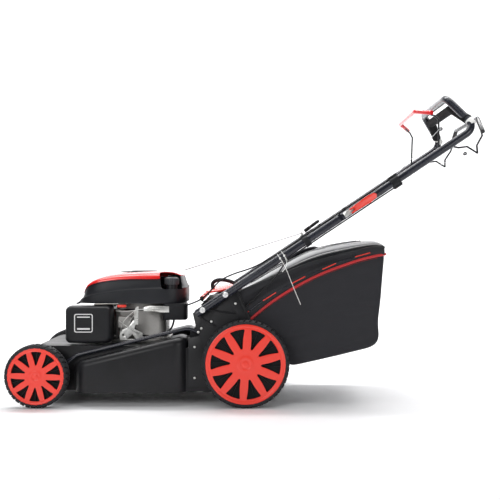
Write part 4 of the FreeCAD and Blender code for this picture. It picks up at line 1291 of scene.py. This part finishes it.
# ------------------------------------------------------------------ deck and handle
@dataclass
class Deck:
    """The pressed steel deck with its brackets and fasteners. Sizes in millimetres."""

    def build(self) -> None:
        """Makes the deck's visible pieces."""
        soften("deck_shell", "pressed_deck", BLACK_STEEL, "deck", "black_steel", 4.0, 3)
        soften("handle_plates", "side_plates", BLACK_STEEL, "deck", "black_steel", 1.0)
        soften("rear_flap", "hinged_flap", RED_PLASTIC, "rear_flap", "red_plastic", 1.0)
        self.flap_handle()
        self.plate_ribs()
        self.screws()

    def flap_handle(self) -> None:
        """Makes the flap's arched black handle."""
        route = [(122, 0, 367), (128, 0, 384), (112, 0, 398), (88, 0, 399), (62, 0, 394), (46, 0, 386),
                 (38, 0, 378)]
        handle = bake(round_line("flap_handle_bar", route, 6.6, 8))
        dress(handle, BLACK_PLASTIC, "rear_flap", "black_plastic", "flap_handle")

    def plate_ribs(self) -> None:
        """Makes the pressed stiffening ribs on the two side plates."""
        ribs = []
        for sign in SIDES.values():
            for line in ([(158, 292), (130, 268), (104, 258)], [(146, 318), (92, 300), (40, 300)],
                         [(28, 352), (16, 322), (6, 300)]):
                rib = bake(round_line("rib", [(x, 231.0 * sign, z) for x, z in line], 3.4, 6))
                ribs.append(rib)
        dress(joined("plate_ribs", ribs), BLACK_STEEL, "deck", "black_steel")

    def screws(self) -> None:
        """Makes the domed handle bolts and the small plate screws."""
        heads = []
        for sign in SIDES.values():
            for s in (0.0, LOWER_BOLT):
                x, _, z = on_handle(s)
                dome = [(0.3, 263.8), (3.4, 263.8), (3.8, 262.6), (4.6, 262.6), (5.2, 264.2),
                        (8.0, 263.2), (9.3, 261.0), (9.3, 257.9), (0.3, 257.9)]
                heads.append(lathe("bolt_dome", [(r, y * sign) for r, y in dome], x, z, 40))
        dress(joined("handle_bolts", heads), BOLT_ZINC, "deck", "zinc")
        small = []
        head = [(0.3, 233.4), (1.6, 233.4), (1.9, 234.4), (3.2, 234.0), (4.2, 232.4), (4.2, 231.0),
                (0.3, 231.0)]
        for sign in SIDES.values():
            for x, z in ((150, 250), (160, 238), (118, 272), (40, 330), (-40, 160), (172, 190), (172, 90)):
                small.append(lathe("screw", [(r, y * sign) for r, y in head], x, z, 24))
        dress(joined("plate_screws", small), ZINC, "deck", "zinc")


@dataclass
class Handle:
    """Grips, bails, clamps and ties of the handle. Sizes in millimetres."""

    foam_radius: float = 15.5
    bail_y: float = 227.0

    def foam(self) -> None:
        """Makes the foam grip round the top bar."""
        bend, corner = Vector(on_handle(BEND_AT, TUBE_Y)), Vector((-652, 180, 1002))
        foot = bend + (corner - bend).normalized() * 40
        line = [tuple(foot), tuple(corner), (corner.x, -corner.y, corner.z), (foot.x, -foot.y, foot.z)]
        grip = bent_bar("foam_grip", line, [40, 40], self.foam_radius, 32)
        bevel(grip, 3.0, 3, 50)
        dress(grip, FOAM, "upper_handle", "foam", "handle_grip")
        # White sleeves at the grip's feet: a painted highlight, standing in for the glare on the tube's
        # bend.
        highlight_sleeves = []
        for sign in SIDES.values():
            low = foot + (bend - foot).normalized() * 4
            high = foot + (bend - foot).normalized() * 26
            ends = [(low.x, low.y * sign, low.z), (high.x, high.y * sign, high.z)]
            highlight_sleeves.append(bent_bar("cuff", ends, [], 13.4, 32))
        dress(bevel(joined("grip_cuffs", highlight_sleeves), 0.8, 2), NYLON, "upper_handle", "black_plastic")

    def bail(self, name: str, body: str, route: list[Triple], bends: list[float], grip_from: int,
             finish: Finish, slot: str) -> None:
        """Makes one bail: its bent wire and the grip round its middle.

        Args:
            name: the piece's name.
            body: the bail's body.
            route: the left half of the wire's corners, from its pivot.
            bends: the bend radius at each corner after the first.
            grip_from: the corner that the grip starts at.
            finish: the grip's finish.
            slot: the grip's slot; not used.
        """
        points = route + [(x, -y, z) for x, y, z in reversed(route)]
        both = bends + bends[::-1]
        wire = bent_bar(f"{name}_wire", points, both, WIRE_RADIUS, 16)
        bar = joined(f"{name}_wire_bar", [wire, self.cable_eye(route)])
        dress(bar, WIRE_PAINT, body, "tube_steel", body)
        held = [Vector(p) for p in points[grip_from:len(points) - grip_from]]
        run = held[1] - held[0]
        start = held[0] + run.normalized() * 10
        held[0] = start
        held[-1] = Vector((start.x, -start.y, start.z))
        grip_bends = both[grip_from:len(points) - grip_from - 2]
        grip = bent_bar(f"{name}_grip", [tuple(p) for p in held], grip_bends, BAIL_GRIP_RADIUS, 28)
        bevel(grip, 2.4, 3, 50)
        dress(grip, finish, body, slot)

    def cable_eye(self, route: list[Triple]) -> bpy.types.Object:
        """A small eye on the left side of a bail's wire, which takes the cable's end."""
        x, z = RED_EYE if route[0][0] > RED_EYE_BEHIND else BLACK_EYE
        return lathe("eye", [(2.0, 224.0), (5.6, 224.0), (5.6, 231.6), (2.0, 231.6)], x, z, 24)

    def bails(self) -> None:
        """Makes the red and the black bail."""
        y = self.bail_y
        self.bail("brake_bail", "red_bail",
                  [(-616, 240, 820), (-616, y, 820), (-629, y, 932), (-606, 214, 948), (-538, 150, 972)],
                  [4.0, 12.0, 10.0, 22.0], 3, RED_GRIP, "red_plastic")
        self.bail("drive_bail", "black_bail",
                  [(-648, 240, 843), (-648, y, 843), (-674, y, 822), (-704, y, 814), (-748, y, 807),
                   (-760, y, 838), (-762, 224, 880), (-766, 155, 964)],
                  [4.0, 14.0, 25.0, 10.0, 20.0, 12.0, 24.0], 6, GLOSS_PLASTIC, "gloss_black_plastic")

    def clamps(self) -> None:
        """Makes the fold's curved washers and red levers."""
        for side in SIDES:
            soften(f"cam_lever_{side}", f"red_lever_{side}", RED_PLASTIC, f"cam_lever_{side}",
                   "red_plastic", 2.0, 3)
        soften("clamp_bolts", "clamp_hardware", ZINC, "upper_handle", "zinc", 0.8)
        soften("cable_bracket", "cable_collar", BLACK_PLASTIC, "upper_handle", "black_plastic", 1.2)
        soften("cable_clip", "tube_clip", BLACK_PLASTIC, "deck", "black_plastic", 1.2)

    def ties(self) -> None:
        """Makes the two white cable ties on the left tube, with their loose tails."""
        tails = ((210.0, [(0, 258, 0), (-14, 262, -18), (-42, 262, -92), (-66, 260, -148)]),
                 (226.0, [(0, 258, 0), (-6, 262, -12), (-10, 262, -34), (6, 262, -52)]))
        for k, (s, tail) in enumerate(tails):
            cx, _, cz = on_handle(s)
            loop = []
            for n in range(37):
                a = 2 * math.pi * n / 36
                around = Vector((0, math.cos(a), 0)) * 14.2 + ABOVE * (math.sin(a) * 17.5) - ABOVE * 1.5
                loop.append(tuple(Vector((cx, TUBE_Y, cz)) + around))
            band = bake(round_line("tie_band", loop, 1.0, 3))
            end = bake(round_line("tie_tail", [(cx + dx, y, cz + dz) for dx, y, dz in tail], 1.1, 3))
            lock = rounded_box("tie_lock", (cx - 3, 257.5, cz - 3.5), (cx + 3, 263.0, cz + 3.5), 0.8, 2)
            dress(joined(f"cable_tie_{k}", [band, end, lock]), NYLON, "deck", "black_plastic")

    def build(self) -> None:
        """Makes the handle's pieces."""
        self.foam()
        self.bails()
        self.clamps()
        self.ties()


@dataclass
class Cables:
    """Control cables, their bare ends, the fuel hose and the starter cord. Sizes in millimetres."""

    radius: float = 2.5

    def cross_fold(self, name: str, points: list[Triple], node: str) -> None:
        """A cable whose route runs across the handle's fold.

        Args:
            name: the piece's name.
            points: its route.
            node: the CAD node it stands for.
        """
        line = bake(round_line(name, points, self.radius, 6))
        paint(line, RUBBER)
        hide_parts(node)
        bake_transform(line)
        LOG.info("made %s across the fold", name)

    def outer_cables(self) -> None:
        """Makes the two black outer cables."""
        up = CABLE_ABOVE
        brake = [(203, 160, 320), (180, 191, 329), (154, 214, 341), (124, 224, 366), (92, 230, 405),
                 (45, 237, 427), (-12, 243, 444), on_handle(172, TUBE_Y, up + 2),
                 on_handle(240, TUBE_Y, up), on_handle(370, TUBE_Y - 0.5, up + 0.3),
                 on_handle(477, TUBE_Y - 4, up + 0.4), on_handle(501, TUBE_Y + 3, up + 0.4),
                 on_handle(570, TUBE_Y, up), on_handle(672, TUBE_Y, up + 1)]
        drive = [(-14, 50, 150), (8, 88, 153), (32, 128, 155), (56, 168, 156), (74, 204, 163),
                 (78, 222, 184), (72, 224, 216), (56, 224, 250), (36, 224, 282), (14, 224, 313),
                 (-14, 224, 340), (-50, 226, 374), (-85, 232, 408), on_handle(215, TUBE_Y - 3, -up - 6),
                 on_handle(250, TUBE_Y, -up - 0.6), on_handle(290, TUBE_Y, -up),
                 on_handle(477, TUBE_Y, -up - 0.4), on_handle(501, TUBE_Y, -up - 0.4),
                 on_handle(560, TUBE_Y, -up), on_handle(672, TUBE_Y, -up - 1)]
        self.cross_fold("brake_cable", brake, "cables_lower")
        self.cross_fold("drive_cable", drive, "cables_upper")

    def inner_wire(self, name: str, start: Triple, end: Triple) -> None:
        """A bare inner wire from the collar to a bail's eye."""
        a, b = Vector(start), Vector(end)
        middle = (a + b) / 2 - Vector((0, 0, 2.0))
        line = bake(round_line(name, [start, tuple(a.lerp(middle, 0.5)), tuple(middle),
                                      tuple(middle.lerp(b, 0.5)), end], 1.0, 4))
        paint(line, STEEL)
        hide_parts(name.removesuffix("_line"))
        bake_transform(line)

    def starter_cord(self) -> None:
        """Makes the braided cord from the hood to its guide."""
        start, end = Vector((226, -62, HOOD_TOP)), Vector((-204, -TUBE_Y, 567))
        route = [start.lerp(end, t) for t in (0.0, 0.06, 0.35, 0.65, 0.94, 1.0)]
        line = bake(round_line("recoil_cord", [tuple(p) for p in route], 1.6, 5))
        dress(line, ROPE, "deck", "rope", "starter_rope")

    def fuel_hose(self) -> None:
        """Makes the hose from the tank to the carburettor."""
        route = [(250, 100, 269.6), (252, 102, 250), (268, 106, 226), (298, 112, 212), (340, 118, 212),
                 (370, 124, 224), (389, 124, 250)]
        dress(bake(round_line("petrol_hose", route, 3.5, 6)), RUBBER, "deck", "rubber", "fuel_hose")

    def build(self) -> None:
        """Makes every cable, hose and cord."""
        self.outer_cables()
        up = CABLE_ABOVE
        self.inner_wire("brake_wire_line", on_handle(CABLE_END, TUBE_Y, up + 1), (-620.2, EYE_Y, 895.0))
        self.inner_wire("drive_wire_line", on_handle(CABLE_END, TUBE_Y, -up - 1), (-697.0, EYE_Y, 815.4))
        self.starter_cord()
        self.fuel_hose()
        grip = node_copy("starter_grip", "pull_handle")
        dress(grip, RUBBER, "starter_grip", "rubber", "starter_grip")


# ------------------------------------------------------------------ grass bag
@dataclass
class GrassBag:
    """The rear bag: moulded lid, vented band, sewn cloth body and red edging. Sizes in millimetres."""

    half: float = 216.0
    edge: float = 18.0
    middle: Pair = (-225.0, 320.0)

    LID_LOW = [(-446.0, 511.0), (-397.0, 511.0), (-336.0, 497.5), (-215.0, 466.0), (-107.0, 425.0),
               (57.0, 357.0)]
    LID_TOP = [(-446.0, 512.0), (-442.0, 524.0), (-430.0, 533.0), (-405.0, 536.5), (-300.0, 523.0),
               (-207.0, 499.0), (-104.0, 447.0), (-2.0, 388.0), (60.0, 362.0)]
    PIPE = [(-446.0, 489.0), (-400.0, 481.0), (-341.0, 465.0), (-217.0, 419.0), (-93.0, 348.0),
            (-6.0, 277.5), (26.0, 246.0)]
    OUTLINE = [(50, 350), (-107, 424), (-215, 465), (-336, 497), (-438, 506), (-446, 486), (-440, 420),
               (-434, 344), (-425, 269), (-429, 218), (-420, 196), (-398, 184), (-270, 153), (-150, 126),
               (-130, 128), (-97, 198), (-10, 207), (22, 285)]
    DASHES = [((-2.8, 304.8), (36.5, 274.6)), ((-91.1, 364.9), (-49.2, 338.2)),
              ((-185.9, 417.1), (-142.0, 394.0)), ((-285.8, 459.6), (-241.7, 440.2)),
              ((-396.8, 494.0), (-348.2, 480.7))]

    def outline(self, count: int = 200, rounds: int = 4) -> list[Pair]:
        """The cloth body's side outline, evenly spaced with soft corners.

        Args:
            count: how many points.
            rounds: how often the corners are eased.

        Returns:
            X and Z of each point.
        """
        corners = [Vector((x, z)) for x, z in self.OUTLINE]
        lengths = [(corners[(i + 1) % len(corners)] - corners[i]).length for i in range(len(corners))]
        total = sum(lengths)
        points: list[Vector] = []
        for k in range(count):
            want = total * k / count
            i = 0
            while want > lengths[i]:
                want -= lengths[i]
                i += 1
            points.append(corners[i].lerp(corners[(i + 1) % len(corners)], want / lengths[i]))
        for _ in range(rounds):
            points = [(points[i - 1] + points[i] * 2 + points[(i + 1) % count]) / 4 for i in range(count)]
        return [(p.x, p.y) for p in points]

    def cloth_lift(self, x: float, z: float) -> float:
        """How far the side panel stands out or falls in at a place, with its folds."""
        low = max(0.0, min(1.0, (320.0 - z) / 150.0))
        rear = max(0.0, min(1.0, (-250.0 - x) / 150.0))
        drift = noise.noise(Vector((x * 0.006, z * 0.008, 3.1)))
        folds = math.sin((z + 0.23 * x) * 0.075 + 5.0 * drift) * 5.0 * low
        pulls = math.sin((x * 0.35 + z) * 0.10 + 4.0 * drift) * 3.4 * rear * max(low, 0.25)
        crease = noise.noise(Vector((x * 0.02, z * 0.03, 9.0))) * 2.2
        return folds + pulls + crease * (0.5 + low) + drift * 4.0

    def cloth(self) -> None:
        """Makes the sewn cloth body, open at its mouth."""
        side = self.outline()
        mx, mz = self.middle
        rings: list[list[Triple]] = []

        def ring(scale: float, y: float, swell: float) -> list[Triple]:
            """One ring of the body, drawn towards the panel's middle."""
            row = []
            for x, z in side:
                px, pz = mx + (x - mx) * scale, mz + (z - mz) * scale
                hang = swell * self.cloth_lift(px, pz)
                row.append((px, y + math.copysign(hang, y), pz))
            return row

        for sign in (-1, 1):
            panel = []
            for k in range(26):
                t = k / 25
                scale = 0.02 + (0.955 - 0.02) * t
                crown = 4.0 * (1 - t**2)
                panel.append(ring(scale, sign * (self.half - 2.0 + crown), 1.0))
            for k in range(1, 6):
                a = math.pi / 2 * k / 5
                panel.append(ring(0.955 + 0.045 * math.sin(a),
                                  sign * (self.half - 2 - self.edge * (1 - math.cos(a))), 1.0 - k / 5))
            rings += panel if sign < 0 else panel[::-1]
            if sign < 0:
                for k in range(1, 24):
                    y = (self.half - 2 - self.edge) * (2 * k / 24 - 1)
                    row = []
                    for x, z in side:
                        sag = 5.0 * (1 - (y / self.half) ** 2)
                        wave = noise.noise(Vector((x * 0.012, y * 0.02, z * 0.012))) * 3.0
                        down = sag + wave if z < 260 else 0.0
                        back = wave if x < -380 else 0.0
                        row.append((x + back, y, max(z - down, 118.0)))
                    rings.append(row)
        body = loft("cloth_body", rings)
        work = bmesh.new()
        work.from_mesh(body.data)
        bmesh.ops.holes_fill(work, edges=[e for e in work.edges if e.is_boundary], sides=0)
        mouth = []
        for face in work.faces:
            c = face.calc_center_median() / MM
            front = c.x > -14 + (c.z - 207) * 0.30 and 214 < c.z < 338
            if front and abs(c.y) < 178:
                mouth.append(face)
        bmesh.ops.delete(work, geom=mouth, context="FACES")
        bmesh.ops.recalc_face_normals(work, faces=work.faces)
        work.to_mesh(body.data)
        work.free()
        thicken(body, 1.6)
        dress(body, BAG_CLOTH, "bag", "bag_cloth", "bag_fabric", angle=60)

    def lid(self) -> None:
        """Makes the moulded lid, with a rolled lower edge."""
        rings = []
        stations = [58.0, 55.0, 48.0, 36.0, 20.0] + [10.0 - 8.0 * k for k in range(52)]
        stations += [-410.0, -418.0, -426.0, -432.0, -437.0, -441.0, -444.0, -445.6]
        for x in stations:
            low, top = between(self.LID_LOW, x), between(self.LID_TOP, x)
            top = max(top, low + 1.5)
            ring: list[Triple] = [(x, self.half - 3.0, low - 1.0), (x, self.half + 2.4, low - 1.0),
                                  (x, self.half + 2.8, low + 1.4), (x, self.half + 1.6, low + 3.0)]
            for k in range(25):
                a = math.pi / 2 * k / 24
                y = self.half * math.cos(a) ** 0.62
                z = low + 3.0 + max(0.5, top - low - 3.0) * math.sin(a) ** 0.86
                ring.append((x, y, z))
            ring += [(px, -py, pz) for px, py, pz in reversed(ring[:-1])]
            rings.append(ring)
        lid = loft("lid_shell", rings, wrap=False)
        thicken(lid, 2.2)
        dress(lid, GLOSS_PLASTIC, "bag", "gloss_black_plastic", "bag_lid", angle=38)
        ribs = []
        for y in (-110.0, 0.0, 110.0):
            line = []
            for x in (-380, -330, -260, -190, -120, -60, -10):
                share = math.acos(min(1.0, (abs(y) / self.half) ** (1 / 0.62)))
                low, top = between(self.LID_LOW, x), between(self.LID_TOP, x)
                line.append((x, y, low + 3.0 + (top - low - 3.0) * math.sin(share) ** 0.86 - 0.4))
            ribs.append(bake(round_line("rib", line, 3.2, 5)))
        dress(joined("lid_ribs", ribs), GLOSS_PLASTIC, "bag", "gloss_black_plastic")
        self.lid_handle()

    def lid_handle(self) -> None:
        """Makes the bag's carrying handle on the lid."""
        grip = bake(round_line("bag_grip", [(-120, 0, 437), (-124, 0, 462), (-150, 0, 480), (-200, 0, 503),
                                            (-236, 0, 512), (-250, 0, 500), (-252, 0, 492)], 7.0, 8))
        dress(grip, GLOSS_PLASTIC, "bag", "gloss_black_plastic")

    def band(self) -> None:
        """Makes the slotted band under the lid, on both sides."""
        panels = []
        for sign in SIDES.values():
            columns = 246
            rows = [0.0, 0.06, 0.22, 0.33, 0.44, 0.55, 0.68, 1.0]
            points: list[Triple] = []
            faces: list[tuple[int, ...]] = []
            for k in range(columns + 1):
                x = 30.0 - 474.0 * k / columns
                high, low = between(self.LID_LOW, x) - 1.0, between(self.PIPE, x)
                for v in rows:
                    z = high + (low - high) * v
                    points.append((x, sign * (self.half + 2.6 - 1.4 * abs(2 * v - 1)), z))
            count = len(rows)
            for k in range(columns):
                x = 30.0 - 474.0 * k / columns
                for i in range(count - 1):
                    slotted = i in (2, 3, 4) and -352 < x < 8 and k % 4 < 2
                    if slotted and not (i == 3 and (k // 24) % 3 == 1):
                        continue
                    faces.append((k * count + i, (k + 1) * count + i, (k + 1) * count + i + 1,
                                  k * count + i + 1))
            panel = raw_mesh("band_panel", points, faces)
            if sum(p.normal.y for p in panel.data.polygons) * sign < 0:
                panel.data.flip_normals()
            panels.append(thicken(panel, 1.6))
        dress(joined("vent_band", panels), BAND_PLASTIC, "bag", "gloss_black_plastic", angle=30)

    def edging(self) -> None:
        """Makes the red piping, its stitches and the broken red line above it."""
        left = [(x, self.half + 3.4, z) for x, z in reversed(self.PIPE)][:-1]
        back = [(-447.0, 214.0, 489.5), (-450.0, 190.0, 490.0), (-451.0, 90.0, 490.0), (-451.0, 0.0, 490.0)]
        half = left + back
        route = half + [(x, -y, z) for x, y, z in reversed(half[:-1])]
        cord = bake(round_line("red_piping", route, 4.4, 6))
        dress(cord, RED_TAPE, "bag", "bag_cloth")
        stitch = rounded_box("stitch", (-1.7, -0.5, -0.5), (1.7, 0.5, 0.5), 0.3, 1)
        lower = [(x, y + (0.6 if y > 200 else -0.6 if y < -200 else 0.0) - math.copysign(2.2, y), z - 7.5)
                 for x, y, z in route]
        seam = row_of("seam_stitches", stitch, round_line("seam_line", lower, 0.5), 5.0, RED_TAPE)
        dress(seam, RED_TAPE, "bag", "bag_cloth")
        red, dark = [], []
        for sign in SIDES.values():
            for (x0, z0), (x1, z1) in self.DASHES:
                red.append(self.strip(x0, z0, x1, z1, sign))
            # Dark gloss strips in the gaps between the red dashes: painted shade of the recesses there.
            for (_, (ax, az)), ((bx, bz), _) in zip(self.DASHES[1:], self.DASHES[:-1]):
                dark.append(self.strip(ax + 5, az - 3, bx - 5, bz + 3, sign))
        dress(joined("red_dashes", red), RED_PLASTIC, "bag", "bag_cloth")
        dress(joined("grey_dashes", dark), TUBE_PAINT, "bag", "gloss_black_plastic")

    def strip(self, x0: float, z0: float, x1: float, z1: float, sign: int) -> bpy.types.Object:
        """One raised dash along the band."""
        y = (self.half + 2.7) * sign
        return bake(round_line("dash", [(x0, y, z0), ((x0 * 2 + x1) / 3, y, (z0 * 2 + z1) / 3),
                                        ((x0 + x1 * 2) / 3, y, (z0 + z1 * 2) / 3), (x1, y, z1)], 1.8, 3))

    def build(self) -> None:
        """Makes the bag's pieces."""
        self.cloth()
        self.lid()
        self.band()
        self.edging()


# ------------------------------------------------------------------ studio
@dataclass
class Studio:
    """Camera, pale floor and soft lights. Sizes in metres."""

    distance: float = 2.95
    height: float = 0.503
    lens: float = 60.62

    def camera(self) -> None:
        """Makes the camera, level and square to the mower's left side."""
        data = bpy.data.cameras.new("camera")
        data.lens = self.lens
        data.sensor_width = 36.0
        made = bpy.data.objects.new("camera", data)
        bpy.context.scene.collection.objects.link(made)
        made.location = (-0.007, self.distance, self.height)
        made.rotation_euler = (math.pi / 2, 0, math.pi)
        bpy.context.scene.camera = made

    def floor(self) -> None:
        """Makes the floor, which curves up into the backdrop."""
        line: list[Pair] = [(7.0, 0.0), (-1.6, 0.0)]
        line += [(-1.6 - 1.2 * math.sin(math.radians(a)), 1.2 - 1.2 * math.cos(math.radians(a)))
                 for a in range(10, 91, 10)]
        line.append((-2.8, 6.0))
        points = [(x / MM, y / MM, z / MM - 0.2) for x in (-9.0, 9.0) for y, z in line]
        count = len(line)
        faces = [(i, i + 1, count + i + 1, count + i) for i in range(count - 1)]
        made = raw_mesh("studio_floor", points, faces)
        paint(made, Finish("studio_paper", (0.92, 0.92, 0.93), (0.90, 0.90, 0.91), 0.5, 0.6, bump=0.0), 60)

    def light(self, name: str, place: Triple, aim: Triple, size: Pair, power: float) -> None:
        """Makes one soft rectangular light.

        Args:
            name: the light's name.
            place: where it is.
            aim: what it points at.
            size: its width and height.
            power: its strength in watts.
        """
        data = bpy.data.lights.new(name, "AREA")
        data.shape = "RECTANGLE"
        data.size, data.size_y = size
        data.energy = power
        made = bpy.data.objects.new(name, data)
        bpy.context.scene.collection.objects.link(made)
        made.location = place
        made.rotation_euler = (Vector(aim) - Vector(place)).to_track_quat("-Z", "Y").to_euler()

    def lights(self) -> None:
        """Makes the soft lights and the pale surroundings."""
        world = bpy.data.worlds.new("studio_air")
        bpy.context.scene.world = world
        world.use_nodes = True
        air = next(n for n in world.node_tree.nodes if n.bl_idname == "ShaderNodeBackground")
        air.inputs["Color"].default_value = (0.97, 0.98, 1.0, 1)
        air.inputs["Strength"].default_value = 0.16
        self.light("overhead", (0.0, 0.1, 3.0), (0.0, 0.0, 0.3), (3.6, 2.0), 50.0)
        self.light("front_left", (1.9, 3.3, 1.7), (0.1, 0.0, 0.4), (1.8, 1.6), 46.0)
        self.light("front_right", (-2.2, 3.1, 1.2), (-0.1, 0.0, 0.5), (1.4, 1.6), 26.0)
        self.light("backdrop_wash", (0.0, -0.9, 3.4), (0.0, -2.8, 0.8), (5.0, 0.8), 165.0)
        bpy.context.scene.view_settings.view_transform = "Standard"

    def build(self) -> None:
        """Makes the studio."""
        self.camera()
        self.floor()
        self.lights()


def dress_frame_nodes() -> None:
    """Gives every CAD node that stays in view its finish."""
    for name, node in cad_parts.items():
        finish = NODE_FINISH.get(name)
        if finish is not None:
            for seat in node.material_slots:
                seat.material = finish.material()


def main() -> None:
    """Builds the studio and every piece of the mower."""
    logging.basicConfig(level=logging.INFO, format="%(message)s")
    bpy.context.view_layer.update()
    Studio().build()
    dress_frame_nodes()
    Cables().build()
    for end, x, radius, cover, first, lugs in (("rear", 7.0, 140.0, 127.5, 4.0, 46),
                                               ("front", 673.0, 101.5, 90.5, 20.0, 34)):
        for side, sign in SIDES.items():
            Wheel(f"{end}_{side}_wheel", x, radius, cover, first, lugs, sign).build()
    Deck().build()
    Engine().build()
    Handle().build()
    GrassBag().build()
    LOG.info("the mower is complete")


if __name__ == "__main__":
    main()
